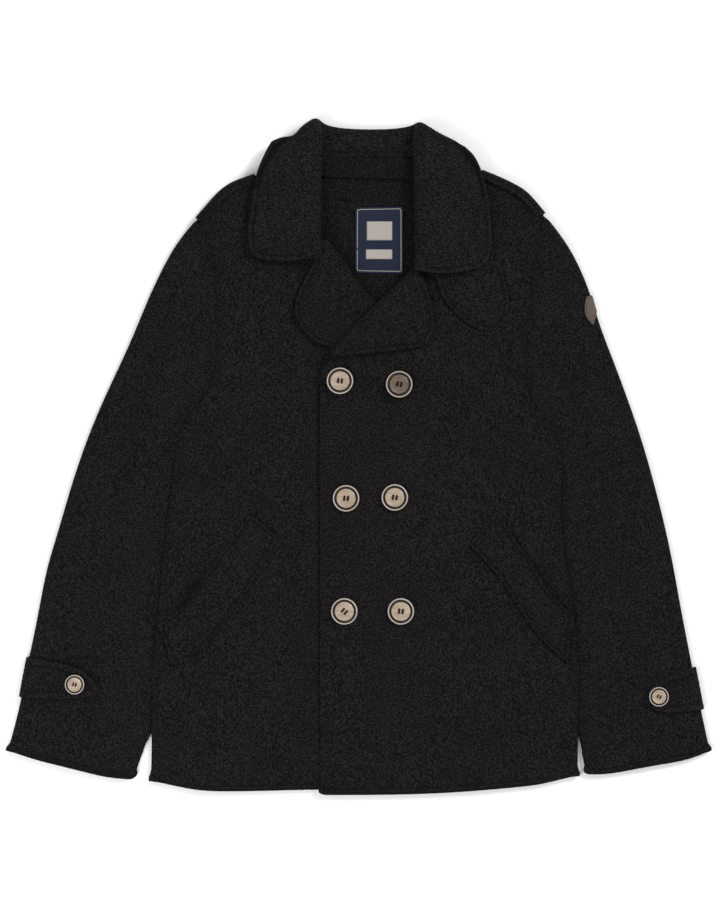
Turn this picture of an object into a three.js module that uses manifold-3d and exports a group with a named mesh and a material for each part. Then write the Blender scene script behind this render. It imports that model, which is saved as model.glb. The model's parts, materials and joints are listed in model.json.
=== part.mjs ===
// Double-breasted pea coat laid flat on a table, front up, seen from straight above.
// Millimetres, +Z up off the table, +Y towards the collar, +X towards the wearer's left.
// Every cloth piece is a closed thin wall made from two matching grids of points.
import * as THREE from "three";
import Module from "manifold-3d";

const wasm = await Module();
wasm.setup();
const { Manifold, Mesh: SolidMesh } = wasm;

// Cloth and how it lies
const CLOTH = 3;
const SEAM = 0.3;
const HOLLOW = 3;
const ARMHOLE_GAP = 1.3;
const EDGE_ROUND = 4.5;
const FOLD_ROUND = 4.5;
const LAPEL_START = 3;
const OPEN_LEVEL = CLOTH + HOLLOW;
const UNDER_LAP_LEVEL = CLOTH + SEAM;
const OVER_LAP_LEVEL = 2 * (CLOTH + SEAM);
const NECK_LEVEL = 18.6;
const STRAP_GAP = 0.9;
const STRAP_BED = CLOTH + STRAP_GAP + SEAM;
const SHOULDER_SEAM = 1.9;
const COLLAR_BED = 2 * (CLOTH + SEAM) + SEAM;
const SLEEVE_HEIGHT = 9.6;
const SLEEVE_INNER_DROP = 1.8;
const LAPEL_SETTLE = 24;

// Grid counts
const ROUND_ANGLES = [0, 30, 60, 90];
const FOLD_STEPS = 5;
const LAPEL_STEPS = 3;
const BODY_STEPS = 6;

// Buttons, label and badge
const BUTTON_RADIUS = 15.25;
const CUFF_BUTTON_RADIUS = 11.2;
const BUTTON_SIDES = 18;
const HOLE_RADIUS = 1.15;
const HOLE_OFFSET = 2.1;
const LABEL_THICKNESS = 0.8;
const BADGE_THICKNESS = 1.2;

// Colours
const WOOL = 0x1e1c1d;
const WOOL_COLLAR = 0x201f1e;
const HORN = 0xc9b8a0;
const HORN_DARK = 0x8a6f58;
const LABEL_NAVY = 0x2f3441;
const BADGE_GREY = 0x6d6866;

const point = (x, y, z = 0) => new THREE.Vector3(x, y, z);
const smooth = (from, to, value) => THREE.MathUtils.smoothstep(value, from, to);
const mix = THREE.MathUtils.lerp;
const sin = (degrees) => Math.sin(THREE.MathUtils.degToRad(degrees));
const cos = (degrees) => Math.cos(THREE.MathUtils.degToRad(degrees));
const steps = (count) => Array.from({ length: count + 1 }, (unused, i) => i / count);

function curve(list) {
  return new THREE.CatmullRomCurve3(list.map(([x, y]) => point(x, y)), false, "centripetal");
}

// Plan outlines, wearer's right (X below zero) and left: side from the hem up, armhole seam
// from the armpit up, shoulder fold from the neck out
const RIGHT_SIDE = [[-241, -373], [-240, -322], [-240, -252], [-232, -169], [-224, -86], [-214, -10],
  [-208, 30], [-199, 50]];
const LEFT_SIDE = [[251, -367], [251, -331], [252, -252], [249, -201], [240, -141], [232.5, -86],
  [231.5, -50], [233.5, -10], [229, 18]];
const RIGHT_ARMHOLE = [[-199, 50], [-183, 64], [-169, 94], [-165, 129], [-166, 181], [-169, 224],
  [-178, 255], [-187, 275]];
const LEFT_ARMHOLE = [[229, 18], [214, 35], [199, 62], [191, 92], [191, 117], [195, 158], [199, 209],
  [205, 250], [211, 280]];
const RIGHT_SHOULDER = [[-64, 345], [-90, 336], [-117, 325], [-148, 313.5], [-163, 302], [-175, 288],
  [-187, 275]];
const LEFT_SHOULDER = [[82, 341], [110, 333], [140, 328], [175, 313], [190, 304], [201, 292], [211, 280]];
const BACK_NECK = [[-64, 345], [-50, 347], [-25, 346], [18, 344.4], [43, 345.3], [68, 344], [82, 341]];

// How far the back is lifted off the table by what is folded under it
function distanceToLine(list, x, y) {
  let best = Infinity;
  for (let i = 1; i < list.length; i += 1) {
    const [ax, ay] = list[i - 1];
    const [bx, by] = list[i];
    const t = ((x - ax) * (bx - ax) + (y - ay) * (by - ay)) / ((bx - ax) ** 2 + (by - ay) ** 2);
    const c = THREE.MathUtils.clamp(t, 0, 1);
    best = Math.min(best, Math.hypot(x - mix(ax, bx, c), y - mix(ay, by, c)));
  }
  return best;
}

function bed(x, y) {
  const strap = Math.min(distanceToLine(RIGHT_SHOULDER, x, y), distanceToLine(LEFT_SHOULDER, x, y));
  const strapBed = STRAP_BED * (1 - smooth(38, 60, strap));
  const collarBed = COLLAR_BED * smooth(232, 272, y) * (1 - smooth(118, 160, Math.abs(x - 15)));
  return Math.max(strapBed, collarBed);
}

// Inside face of the wearer's right front, which lies underneath
function rightInside(x, y) {
  const level = mix(OPEN_LEVEL, UNDER_LAP_LEVEL, smooth(-112, -64, x));
  const ramp = 2.4 * smooth(196, 226, y) * smooth(-112, -64, x);
  const neck = smooth(244, 288, y) * smooth(-112, -80, x);
  return mix(bed(x, y) + level + ramp, NECK_LEVEL, neck);
}

// Inside face of the wearer's left front, lifted over the turned right lapel it covers
function leftInside(x, y) {
  const level = mix(OVER_LAP_LEVEL, OPEN_LEVEL, smooth(84, 112, x));
  const lapelFoot = 114 + (78 - x) * 0.109;
  const beyondRoll = (x - 80) * 0.729 + (y - 115) * 0.685;
  const over = smooth(lapelFoot - 38, lapelFoot - 14, y) * (1 - smooth(8, 34, beyondRoll));
  const roll = 2.9 * smooth(-46, -18, beyondRoll);
  const neck = smooth(236, 288, y) * (1 - smooth(98, 130, x));
  return mix(bed(x, y) + level + over * (7.4 + roll), NECK_LEVEL, neck);
}

const backInside = (x, y) => bed(x, y) + CLOTH;
const rightTop = (x, y) => rightInside(x, y) + CLOTH;
const leftTop = (x, y) => leftInside(x, y) + CLOTH;
const bodyTop = (x, y) => (x < 17 ? rightTop(x, y) : leftTop(x, y));

// Closed wall between two grids of the same shape
function signedVolume(positions, index) {
  const corner = (i) => new THREE.Vector3().fromArray(positions, 3 * i);
  let total = 0;
  for (let i = 0; i < index.length; i += 3) {
    total += corner(index[i]).dot(corner(index[i + 1]).cross(corner(index[i + 2])));
  }
  return total;
}

function slab({ near, far }) {
  const rows = near.length;
  const columns = near[0].length;
  const positions = [];
  [near, far].forEach((grid) => grid.flat().forEach((p) => positions.push(p.x, p.y, p.z)));
  const at = (layer, r, c) => (layer * rows + r) * columns + c;
  const index = [];
  const quad = (a, b, c, d) => index.push(a, b, c, a, c, d);
  for (let r = 0; r < rows - 1; r += 1) {
    for (let c = 0; c < columns - 1; c += 1) {
      quad(at(1, r, c), at(1, r, c + 1), at(1, r + 1, c + 1), at(1, r + 1, c));
      quad(at(0, r, c), at(0, r + 1, c), at(0, r + 1, c + 1), at(0, r, c + 1));
    }
    quad(at(1, r, 0), at(1, r + 1, 0), at(0, r + 1, 0), at(0, r, 0));
    quad(at(0, r, columns - 1), at(0, r + 1, columns - 1), at(1, r + 1, columns - 1), at(1, r, columns - 1));
  }
  for (let c = 0; c < columns - 1; c += 1) {
    quad(at(0, 0, c), at(0, 0, c + 1), at(1, 0, c + 1), at(1, 0, c));
    quad(at(1, rows - 1, c), at(1, rows - 1, c + 1), at(0, rows - 1, c + 1), at(0, rows - 1, c));
  }
  const geometry = new THREE.BufferGeometry();
  geometry.setAttribute("position", new THREE.Float32BufferAttribute(positions, 3));
  geometry.setIndex(signedVolume(positions, index) < 0 ? index.reverse() : index);
  geometry.computeVertexNormals();
  return geometry;
}

const coat = new THREE.Group();
coat.name = "pea_coat";
const probe = new THREE.Raycaster();

// Highest face of the named pieces near a plan point, read straight down; other covers bare spots
function topOf(names, spread, other) {
  const meshes = names.map((name) => coat.getObjectByName(name));
  const around = [[0, 0], [spread, 0], [-spread, 0], [0, spread], [0, -spread]];
  return (x, y) => {
    const heights = around.map(([dx, dy]) => {
      probe.set(point(x + dx, y + dy, 200), point(0, 0, -1));
      const hit = probe.intersectObjects(meshes)[0];
      return hit ? hit.point.z : -Infinity;
    });
    const highest = Math.max(...heights);
    return Number.isFinite(highest) ? highest : other(x, y);
  };
}

function addPiece(name, geometry, color, roughness = 0.95) {
  const mesh = new THREE.Mesh(geometry, new THREE.MeshStandardMaterial({ color, roughness }));
  mesh.name = name;
  coat.add(mesh);
}

// Grid of { outer, inner } cells to a slab piece
function addCloth(name, cells, color = WOOL, roughness = 0.95) {
  const near = cells.map((row) => row.map((cell) => cell.inner));
  const far = cells.map((row) => row.map((cell) => cell.outer));
  addPiece(name, slab({ near, far }), color, roughness);
}

// One point of a body panel, rounded down (front, face 1) or up (back, face -1) where it meets the
// other panel at a fold; side and top say how far round the fold it is, 90 being flat
function laid(x, y, how) {
  const { low, high, face = 1, side = 90, sideOut, sideFold = 1, top = 90, topOut, topFold = 1 } = how;
  const rise = (1 - sideFold * (1 - sin(side))) * (1 - topFold * (1 - sin(top)));
  const seam = mix(SEAM, SHOULDER_SEAM, topFold * (1 - sin(top)));
  const middle = (low + high + face * seam) / 2;
  const outer = point(x, y, mix(middle, face > 0 ? high : low, rise));
  const normal = point(0, 0, face * rise);
  if (sideOut) normal.addScaledVector(sideOut, sideFold * cos(side));
  if (topOut) normal.addScaledVector(topOut, topFold * cos(top));
  return { outer, inner: outer.clone().addScaledVector(normal.normalize(), -CLOTH) };
}

// How far a line through plan points lies above the straight line between its ends, at x
function bulge(list, x) {
  const rising = list[0][0] < list[list.length - 1][0] ? list : [...list].reverse();
  const along = (a, b) => mix(a[1], b[1], THREE.MathUtils.clamp((x - a[0]) / (b[0] - a[0]), 0, 1));
  const next = rising.findIndex(([px]) => px >= x);
  const stop = next < 0 ? rising.length - 1 : Math.max(next, 1);
  return along(rising[stop - 1], rising[stop]) - along(rising[0], rising[rising.length - 1]);
}

const inset = (angle) => EDGE_ROUND * (1 - cos(angle));

// Height of the turned lapel's inner face, settling from the roll onto the front below it
function turnedHeight(inside, x, y, fromRoll) {
  const settle = (2 * FOLD_ROUND - CLOTH - (CLOTH + SEAM)) * (1 - smooth(0, LAPEL_SETTLE, fromRoll));
  return inside(x, y) + 2 * CLOTH + SEAM + settle;
}

// One front. Each row: side is a place along the side and armhole line (0 hem, 1 armpit, 2 shoulder),
// axis and edge are plan points of the roll axis and free edge, fold is how far the lapel is turned
function frontCells({ rows, sideLine, armLine, hemLine, shoulderLine, inside, out, roll }) {
  const spline = (key) => new THREE.CatmullRomCurve3(
    rows.map((row) => point(...row[key])), false, "catmullrom", 0.4,
  );
  const axisLine = spline("axis");
  const edgeLine = spline("edge");
  const places = new THREE.CatmullRomCurve3(
    rows.map((row) => point(row.side, row.fold)), false, "catmullrom", 0,
  );
  const sidePoint = (s) => (s < 1 ? sideLine.getPointAt(s) : armLine.getPointAt(Math.min(s - 1, 1)));
  const sideOut = point(out, 0);
  const topOut = point(out * 0.4, 0.92);
  const rowAt = (v, top) => {
    const { x: place, y: fold } = places.getPoint(v);
    const side = sidePoint(place);
    const axis = axisLine.getPoint(v);
    const edge = edgeLine.getPoint(v);
    const sideFold = 1 - smooth(0.9, 1.06, place);
    const hemWeight = 1 - smooth(0, 0.16, v);
    const shoulderWeight = smooth(0.86, 1, v);
    const lower = v < 1 ? 0 : inset(top);
    const flat = (p, angle, shift) => {
      const q = p.clone();
      q.y += bulge(hemLine, p.x) * hemWeight + bulge(shoulderLine, p.x) * shoulderWeight;
      q.addScaledVector(sideOut, -shift).addScaledVector(topOut, -lower);
      const heights = { low: bed(q.x, q.y), high: inside(q.x, q.y) + CLOTH };
      return laid(q.x, q.y, { ...heights, side: angle, sideOut, sideFold, top, topOut });
    };
    const cells = ROUND_ANGLES.map((angle) => flat(side, angle, inset(angle)));
    for (let i = 1; i <= BODY_STEPS; i += 1) {
      const share = mix(EDGE_ROUND / side.distanceTo(axis), 1, i / BODY_STEPS);
      cells.push(flat(side.clone().lerp(axis, share), 90, 0));
    }
    const strip = FOLD_STEPS + LAPEL_STEPS;
    if (fold < 1) {
      for (let k = 1; k <= strip; k += 1) {
        cells.push(flat(axis.clone().lerp(edge, k / strip), 90, 0));
      }
      return cells;
    }
    const base = inside(axis.x, axis.y);
    const flatOut = edge.clone().sub(axis).normalize();
    const foldOut = flatOut.lerp(roll, smooth(10, 60, fold)).normalize();
    const bent = (degrees, extra) => {
      const inner = point(axis.x, axis.y, base + FOLD_ROUND * (1 - cos(degrees)) + extra * sin(degrees));
      inner.addScaledVector(foldOut, FOLD_ROUND * sin(degrees) + extra * cos(degrees));
      const normal = foldOut.clone().multiplyScalar(-sin(degrees)).setZ(cos(degrees));
      return { inner, normal };
    };
    const push = ({ inner, normal }) => {
      cells.push({ inner, outer: inner.clone().addScaledVector(normal, CLOTH), normal });
    };
    for (let k = 1; k <= FOLD_STEPS; k += 1) {
      push(bent((fold * k) / FOLD_STEPS, 0));
    }
    const start = bent(fold, 0).inner;
    const reach = Math.hypot(edge.x - start.x, edge.y - start.y);
    for (let k = 1; k <= LAPEL_STEPS; k += 1) {
      const t = k / LAPEL_STEPS;
      const free = bent(fold, LAPEL_START * t);
      const x = mix(start.x, edge.x, t);
      const y = mix(start.y, edge.y, t);
      const settled = point(x, y, turnedHeight(inside, x, y, reach * t));
      free.inner.lerp(settled, smooth(110, 175, fold));
      push(free);
    }
    return cells;
  };
  const count = rows.length - 1;
  const grid = Array.from({ length: count }, (unused, j) => rowAt(j / count, 90));
  [90, 60, 30, 0].forEach((top) => grid.push(rowAt(1, top)));
  return grid;
}

// Cloth seen on the turned lapel, laid over the front's own cloth from just round the roll
function facingCells(grid, firstRow, lastRow) {
  const firstColumn = ROUND_ANGLES.length + BODY_STEPS + 1;
  return grid.slice(firstRow, lastRow + 1).map((row) => row.slice(firstColumn).map(({ inner, normal }) => ({
    inner: inner.clone().addScaledVector(normal, -SEAM),
    outer: inner.clone().addScaledVector(normal, -SEAM - CLOTH),
  })));
}

const RIGHT_FRONT_ROWS = [
  { side: 0, axis: [60, -383.5], edge: [80, -384], fold: 0 },
  { side: 0.13, axis: [60, -322], edge: [80, -322], fold: 0 },
  { side: 0.26, axis: [60, -260], edge: [80, -260], fold: 0 },
  { side: 0.39, axis: [60, -200], edge: [80, -200], fold: 0 },
  { side: 0.52, axis: [60, -140], edge: [80, -140], fold: 0 },
  { side: 0.64, axis: [60, -85], edge: [80, -85], fold: 0 },
  { side: 0.76, axis: [60, -30], edge: [80, -30], fold: 0 },
  { side: 0.86, axis: [60, 20], edge: [80, 20], fold: 0 },
  { side: 0.94, axis: [60, 65], edge: [80, 65], fold: 0 },
  { side: 1.02, axis: [62, 98], edge: [80, 100], fold: 0 },
  { side: 1.1, axis: [66, 108], edge: [76, 113], fold: 95 },
  { side: 1.16, axis: [62, 116], edge: [56, 116.5], fold: 180 },
  { side: 1.24, axis: [46, 136], edge: [8, 121.5], fold: 180 },
  { side: 1.33, axis: [27, 157], edge: [-36, 126.5], fold: 180 },
  { side: 1.42, axis: [11, 175], edge: [-55, 135], fold: 180 },
  { side: 1.51, axis: [0, 188], edge: [-73, 155], fold: 180 },
  { side: 1.6, axis: [-12, 203], edge: [-77, 178], fold: 180 },
  { side: 1.69, axis: [-25, 222], edge: [-64, 204], fold: 180 },
  { side: 1.77, axis: [-35, 236], edge: [-54, 221], fold: 180 },
  { side: 1.83, axis: [-44, 247], edge: [-49, 240], fold: 170 },
  { side: 1.88, axis: [-78, 262], edge: [-58, 264], fold: 0 },
  { side: 1.92, axis: [-84, 286], edge: [-64, 288], fold: 0 },
  { side: 1.96, axis: [-84, 314], edge: [-64, 316], fold: 0 },
  { side: 2, axis: [-83, 334.2], edge: [-64, 345], fold: 0 },
];

const LEFT_FRONT_ROWS = [
  { side: 0, axis: [-26, -384.3], edge: [-45, -385.5], fold: 0 },
  { side: 0.13, axis: [-26, -322], edge: [-45.5, -322], fold: 0 },
  { side: 0.26, axis: [-26, -262], edge: [-46, -262], fold: 0 },
  { side: 0.39, axis: [-26, -202], edge: [-46, -202], fold: 0 },
  { side: 0.52, axis: [-26, -142], edge: [-46, -142], fold: 0 },
  { side: 0.64, axis: [-26, -88], edge: [-46.5, -88], fold: 0 },
  { side: 0.76, axis: [-26, -34], edge: [-46.5, -34], fold: 0 },
  { side: 0.86, axis: [-26, 16], edge: [-46.5, 16], fold: 0 },
  { side: 0.94, axis: [-26, 62], edge: [-46.5, 62], fold: 0 },
  { side: 1.02, axis: [-27, 96], edge: [-46.5, 98], fold: 0 },
  { side: 1.1, axis: [-34, 107], edge: [-43, 112], fold: 95 },
  { side: 1.16, axis: [-29, 116], edge: [-22, 117], fold: 180 },
  { side: 1.24, axis: [-14, 134], edge: [20, 121], fold: 180 },
  { side: 1.33, axis: [4, 153], edge: [55, 124], fold: 180 },
  { side: 1.42, axis: [20, 168.5], edge: [76.5, 129.5], fold: 180 },
  { side: 1.51, axis: [35, 182], edge: [85.5, 149], fold: 180 },
  { side: 1.6, axis: [47, 194], edge: [84, 170], fold: 180 },
  { side: 1.69, axis: [57, 204], edge: [78, 192], fold: 180 },
  { side: 1.77, axis: [66, 215], edge: [72, 208], fold: 170 },
  { side: 1.83, axis: [84, 232], edge: [72, 234], fold: 0 },
  { side: 1.88, axis: [97, 252], edge: [78, 254], fold: 0 },
  { side: 1.92, axis: [102, 278], edge: [82, 280], fold: 0 },
  { side: 1.96, axis: [103, 308], edge: [82.3, 310], fold: 0 },
  { side: 2, axis: [101, 332], edge: [82.3, 341], fold: 0 },
];

const RIGHT_HEM = [[-241, -373], [-216, -383], [-179, -385], [-106, -384], [-46, -382], [80, -384]];
const LEFT_HEM = [[251, -367], [248, -370], [230, -375], [199, -378], [167, -381], [107, -386], [46, -388.5],
  [-40, -388.5], [-45, -385.5]];

const rightFront = frontCells({
  rows: RIGHT_FRONT_ROWS,
  sideLine: curve(RIGHT_SIDE),
  armLine: curve(RIGHT_ARMHOLE),
  hemLine: RIGHT_HEM,
  shoulderLine: RIGHT_SHOULDER,
  inside: rightInside,
  out: -1,
  roll: point(0.75, 0.66),
});
addCloth("front_right", rightFront);
addCloth("lapel_facing_right", facingCells(rightFront, 11, 19), WOOL_COLLAR);

const leftFront = frontCells({
  rows: LEFT_FRONT_ROWS,
  sideLine: curve(LEFT_SIDE),
  armLine: curve(LEFT_ARMHOLE),
  hemLine: LEFT_HEM,
  shoulderLine: LEFT_SHOULDER,
  inside: leftInside,
  out: 1,
  roll: point(-0.69, 0.72),
});
addCloth("front_left", leftFront);
addCloth("lapel_facing_left", facingCells(leftFront, 11, 18), WOOL_COLLAR);

// Back panel: rows from hem to neck, columns from the right side to the left side; its outer face is
// the underside the coat rests on
const BACK_HEM = [[-241, -369], [-180, -379], [-100, -379], [20, -380], [110, -380], [200, -373],
  [251, -363]];
const BACK_TOP = [...RIGHT_SHOULDER].reverse().concat(BACK_NECK.slice(1, -1), LEFT_SHOULDER);
const BACK_ROW_PLACES = [0, 0.13, 0.26, 0.39, 0.52, 0.64, 0.76, 0.86, 0.94, 1, 1.05, 1.11, 1.18, 1.26,
  1.35, 1.45, 1.55, 1.65, 1.74, 1.81, 1.86, 1.92];
const BACK_STEPS = 10;

function backCells() {
  const sides = [[RIGHT_SIDE, RIGHT_ARMHOLE, -1], [LEFT_SIDE, LEFT_ARMHOLE, 1]].map(([side, arm, out]) => ({
    at: (s) => (s < 1 ? curve(side).getPointAt(s) : curve(arm).getPointAt(Math.min(s - 1, 1))),
    out: point(out, 0),
  }));
  const rowAt = (place, top) => {
    const [right, left] = sides.map((side) => side.at(place));
    const sideFold = 1 - smooth(0.9, 1.06, place);
    const hemWeight = 1 - smooth(0, 0.3, place);
    const topWeight = smooth(1.68, 2, place);
    const cell = (p, angle, shift, sideOut) => {
      const y = p.y + bulge(BACK_HEM, p.x) * hemWeight + bulge(BACK_TOP, p.x) * topWeight;
      const topFold = 1 - smooth(-84, -68, p.x) * (1 - smooth(84, 100, p.x));
      const x = p.x - sideOut.x * shift;
      const low = bed(x, y - inset(top));
      const high = place < 1.1 || topFold > 0.5 ? bodyTop(x, y - inset(top)) : low + 2 * CLOTH + HOLLOW;
      const yTop = place < 2 ? y : y - inset(top) * 0.94;
      return laid(x, yTop, {
        low, high, face: -1, side: angle, sideOut, sideFold, top, topOut: point(0, 1), topFold,
      });
    };
    const cells = ROUND_ANGLES.map((angle) => cell(right, angle, inset(angle), sides[0].out));
    const from = right.clone().add(point(EDGE_ROUND, 0));
    const to = left.clone().sub(point(EDGE_ROUND, 0));
    for (let i = 1; i < BACK_STEPS; i += 1) {
      cells.push(cell(from.clone().lerp(to, i / BACK_STEPS), 90, 0, sides[1].out));
    }
    [...ROUND_ANGLES].reverse().forEach((angle) => {
      cells.push(cell(left, angle, inset(angle), sides[1].out));
    });
    return cells;
  };
  const grid = BACK_ROW_PLACES.map((place) => rowAt(place, 90));
  [90, 60, 30, 0].forEach((top) => grid.push(rowAt(2, top)));
  return grid;
}
addCloth("back_panel", backCells());

// A thin piece laid on a height map: corner lines run side by side from start to end
function patch(lineA, lineB, columns, height, thickness, gap = SEAM) {
  const [a, b] = [curve(lineA), curve(lineB)];
  return columns.map((u) => [0, 0.5, 1].map((t) => {
    const p = a.getPoint(u).lerp(b.getPoint(u), t);
    const low = height(p.x, p.y) + gap;
    return { inner: point(p.x, p.y, low), outer: point(p.x, p.y, low + thickness) };
  }));
}

// Inside neck: facing band and label
const FACING_FOOT = [[-48, 323], [18, 321], [65, 320]];
const FACING_HEAD = [[-48, 345], [-25, 344.7], [18, 343.2], [43, 344], [65, 342.5]];
const onBack = topOf(["back_panel"], 2, backInside);
addCloth("back_neck_facing", patch(FACING_FOOT, FACING_HEAD, steps(8), onBack, CLOTH));

// Throat tab from under the left collar
const TAB_BACK = [[86, 222], [90, 197], [98.5, 178.5], [119.6, 157.3], [138, 147]];
const TAB_FRONT = [[160, 226], [166, 205], [171, 184], [168.5, 160], [153, 145]];
const overFront = topOf(["front_left"], 4, leftTop);
addCloth("throat_tab", patch(TAB_BACK, TAB_FRONT, steps(8), overFront, CLOTH), WOOL_COLLAR);

// Turned collar. Plan points of the face between under collar and top collar at each station:
// seam to the neck, crown of the roll, middle of the fall, outer edge. bend is how far the station
// is round the shoulder fold: 1 on top, 0 standing on the fold, -1 underneath
const COLLAR_STATIONS = [
  { seam: [-56, 238], roll: [-47.3, 229], mid: [-86, 225.5], edge: [-117, 228.5], bend: 1, tucked: 1 },
  { seam: [-56, 243], roll: [-47.3, 236], mid: [-87, 234], edge: [-125, 236], bend: 1, tucked: 1 },
  { seam: [-56, 254], roll: [-47.3, 249], mid: [-88, 249], edge: [-128, 251], bend: 1, tucked: 1 },
  { seam: [-59, 272], roll: [-47.3, 270], mid: [-87, 272], edge: [-126.5, 274], bend: 1, tucked: 0.5 },
  { seam: [-61.5, 296], roll: [-47.3, 298], mid: [-86, 301], edge: [-122, 303], bend: 1, tucked: 0 },
  { seam: [-61.5, 324], roll: [-47.3, 336], mid: [-83, 336], edge: [-117, 329], bend: 1, tucked: 0 },
  { seam: [-58, 345.5], roll: [-45.5, 371], mid: [-79, 358], edge: [-108, 349], bend: 1, tucked: 0 },
  { seam: [-60, 348], roll: [-49.5, 386.5], mid: [-74, 373], edge: [-98, 361], bend: 0, tucked: 0 },
  { seam: [-53, 348.5], roll: [-42, 381], mid: [-69, 362], edge: [-92, 350], bend: -1, tucked: 0 },
  { seam: [-36, 347.2], roll: [-28, 377], mid: [-44, 346], edge: [-68, 318], bend: -1, tucked: 0 },
  { seam: [-10, 346.2], roll: [-6, 375], mid: [-10, 334], edge: [-20, 296], bend: -1, tucked: 0 },
  { seam: [18, 345], roll: [18, 374.6], mid: [20, 333], edge: [22, 293], bend: -1, tucked: 0 },
  { seam: [46, 345.6], roll: [40, 375.4], mid: [58, 341], edge: [78, 308], bend: -1, tucked: 0 },
  { seam: [70, 345.3], roll: [59, 378.5], mid: [88, 358], edge: [113, 347], bend: -1, tucked: 0 },
  { seam: [77.5, 344], roll: [67, 382], mid: [93, 368], edge: [119, 357], bend: 0, tucked: 0 },
  { seam: [75.5, 341.5], roll: [63.5, 368], mid: [98, 353], edge: [130, 346], bend: 1, tucked: 0 },
  { seam: [79.5, 318], roll: [65.3, 330], mid: [104, 332], edge: [140, 325], bend: 1, tucked: 0 },
  { seam: [79.5, 290], roll: [65.3, 292], mid: [107, 296], edge: [146.5, 297], bend: 1, tucked: 0 },
  { seam: [76.5, 262], roll: [65.3, 260], mid: [108, 263], edge: [150, 267], bend: 1, tucked: 0.3 },
  { seam: [77.5, 244], roll: [65.3, 237], mid: [108, 238], edge: [151, 246], bend: 1, tucked: 0.8 },
  { seam: [76, 232], roll: [65.3, 221], mid: [107, 220], edge: [147.5, 227], bend: 1, tucked: 1 },
  { seam: [75, 226], roll: [65.3, 214], mid: [101, 210.5], edge: [139, 217.5], bend: 1, tucked: 1 },
];
const COLLAR_SEAM_BACK = 9.9;
const COLLAR_STAND_BACK = 10.4;
const COLLAR_FALL_BACK = 3.65;
const COLLAR_LIFT = { right: 20.6, left: 20.2 };
const COLLAR_ARC = 5;
const COLLAR_EASE = 1.6;
const COLLAR_PLY_GAP = 0.65;
const FALL_PLACES = [0.3, 0.65, 1];
const COLLAR_ROW_SUBDIVIDE = 2;

// Height the collar's fall rests on, over the fronts and the throat tab
const collarRest = topOf(["front_right", "front_left", "throat_tab"], 10, bodyTop);

// Slows the walk along the stations where they turn round the shoulder fold, so it stays an even round
function foldedPlace(v) {
  const whole = v * (COLLAR_STATIONS.length - 1);
  const first = Math.min(Math.floor(whole), COLLAR_STATIONS.length - 2);
  const part = 90 * (whole - first);
  const turned = COLLAR_STATIONS[first + 1].bend === 0 ? sin(part) : 1 - cos(part);
  const onFold = COLLAR_STATIONS[first].bend === 0 || COLLAR_STATIONS[first + 1].bend === 0;
  return (first + (onFold ? turned : part / 90)) / (COLLAR_STATIONS.length - 1);
}

function collarCells() {
  const line = (key) => new THREE.CatmullRomCurve3(
    COLLAR_STATIONS.map((s) => point(...s[key])), false, "centripetal",
  );
  const scalar = new THREE.CatmullRomCurve3(
    COLLAR_STATIONS.map((s) => point(s.bend, s.tucked)), false, "catmullrom", 0,
  );
  const [seams, rolls, mids, edges] = ["seam", "roll", "mid", "edge"].map(line);
  const count = (COLLAR_STATIONS.length - 1) * COLLAR_ROW_SUBDIVIDE;
  return steps(count).map((v) => {
    const place = foldedPlace(v);
    const [seam, roll, mid, edge] = [seams, rolls, mids, edges].map((one) => one.getPoint(place));
    const { x: bend, y: tucked } = scalar.getPoint(v);
    const over = Math.max(bend, 0);
    const wave = sin(90 * bend);
    const round = mix((COLLAR_STAND_BACK - COLLAR_FALL_BACK) / 2, FOLD_ROUND, (wave + 1) / 2);
    const neck = bodyTop(seam.x, seam.y) - CLOTH;
    const blend = (front, back) => mix(back, front, (wave + 1) / 2);
    const seamZ = blend(neck, COLLAR_SEAM_BACK);
    const standZ = blend(neck, COLLAR_STAND_BACK);
    const seamWay = seam.clone().sub(roll).normalize();
    const edgeWay = mid.clone().sub(roll).normalize();
    const crown = seamWay.clone().lerp(edgeWay, 0.5).normalize();
    const flatness = Math.abs(wave);
    const standing = cos(90 * bend);
    const columns = [point(seam.x, seam.y, seamZ)];
    for (let k = 0; k <= COLLAR_ARC; k += 1) {
      const angle = (180 * k) / COLLAR_ARC;
      const t = k / COLLAR_ARC;
      const way = seamWay.clone().lerp(edgeWay, t).normalize();
      const depth = round * (1 - sin(angle));
      const p = roll.clone().addScaledVector(way, depth * flatness);
      p.addScaledVector(crown, standing * depth);
      const across = edgeWay.clone().sub(seamWay).normalize();
      p.addScaledVector(across, standing * -round * cos(angle));
      p.z = standZ + wave * round * (1 - cos(angle));
      columns.push(p);
    }
    const start = columns[COLLAR_ARC + 1];
    FALL_PLACES.forEach((t) => {
      const plan = t < 0.65 ? start.clone().lerp(mid, 0.46) : mid.clone().lerp(edge, (t - 0.65) / 0.35);
      const settle = 2.8 * (1 - smooth(0, 0.6, t));
      const rest = collarRest(plan.x, plan.y) + COLLAR_EASE + CLOTH + settle;
      plan.z = blend(rest, COLLAR_FALL_BACK);
      columns.push(plan);
    });
    if (tucked > 0) {
      const lift = seam.x < 0 ? COLLAR_LIFT.right : COLLAR_LIFT.left;
      const centre = roll.clone().addScaledVector(edgeWay, FOLD_ROUND);
      columns.slice(0, COLLAR_ARC + 2).forEach((p, k) => {
        const angle = mix(88, 180, k / (COLLAR_ARC + 1));
        const q = centre.clone().addScaledVector(edgeWay, -FOLD_ROUND * sin(angle));
        q.z = lift - FOLD_ROUND * cos(angle);
        p.lerp(q, tucked * over);
      });
    }
    return columns;
  });
}

// Normals of a grid, from its neighbours
function gridNormals(grid) {
  const pick = (r, c) => grid[THREE.MathUtils.clamp(r, 0, grid.length - 1)][
    THREE.MathUtils.clamp(c, 0, grid[0].length - 1)];
  return grid.map((row, r) => row.map((p, c) => {
    const down = pick(r + 1, c).clone().sub(pick(r - 1, c));
    const across = pick(r, c + 1).clone().sub(pick(r, c - 1));
    return across.cross(down).normalize();
  }));
}

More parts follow.
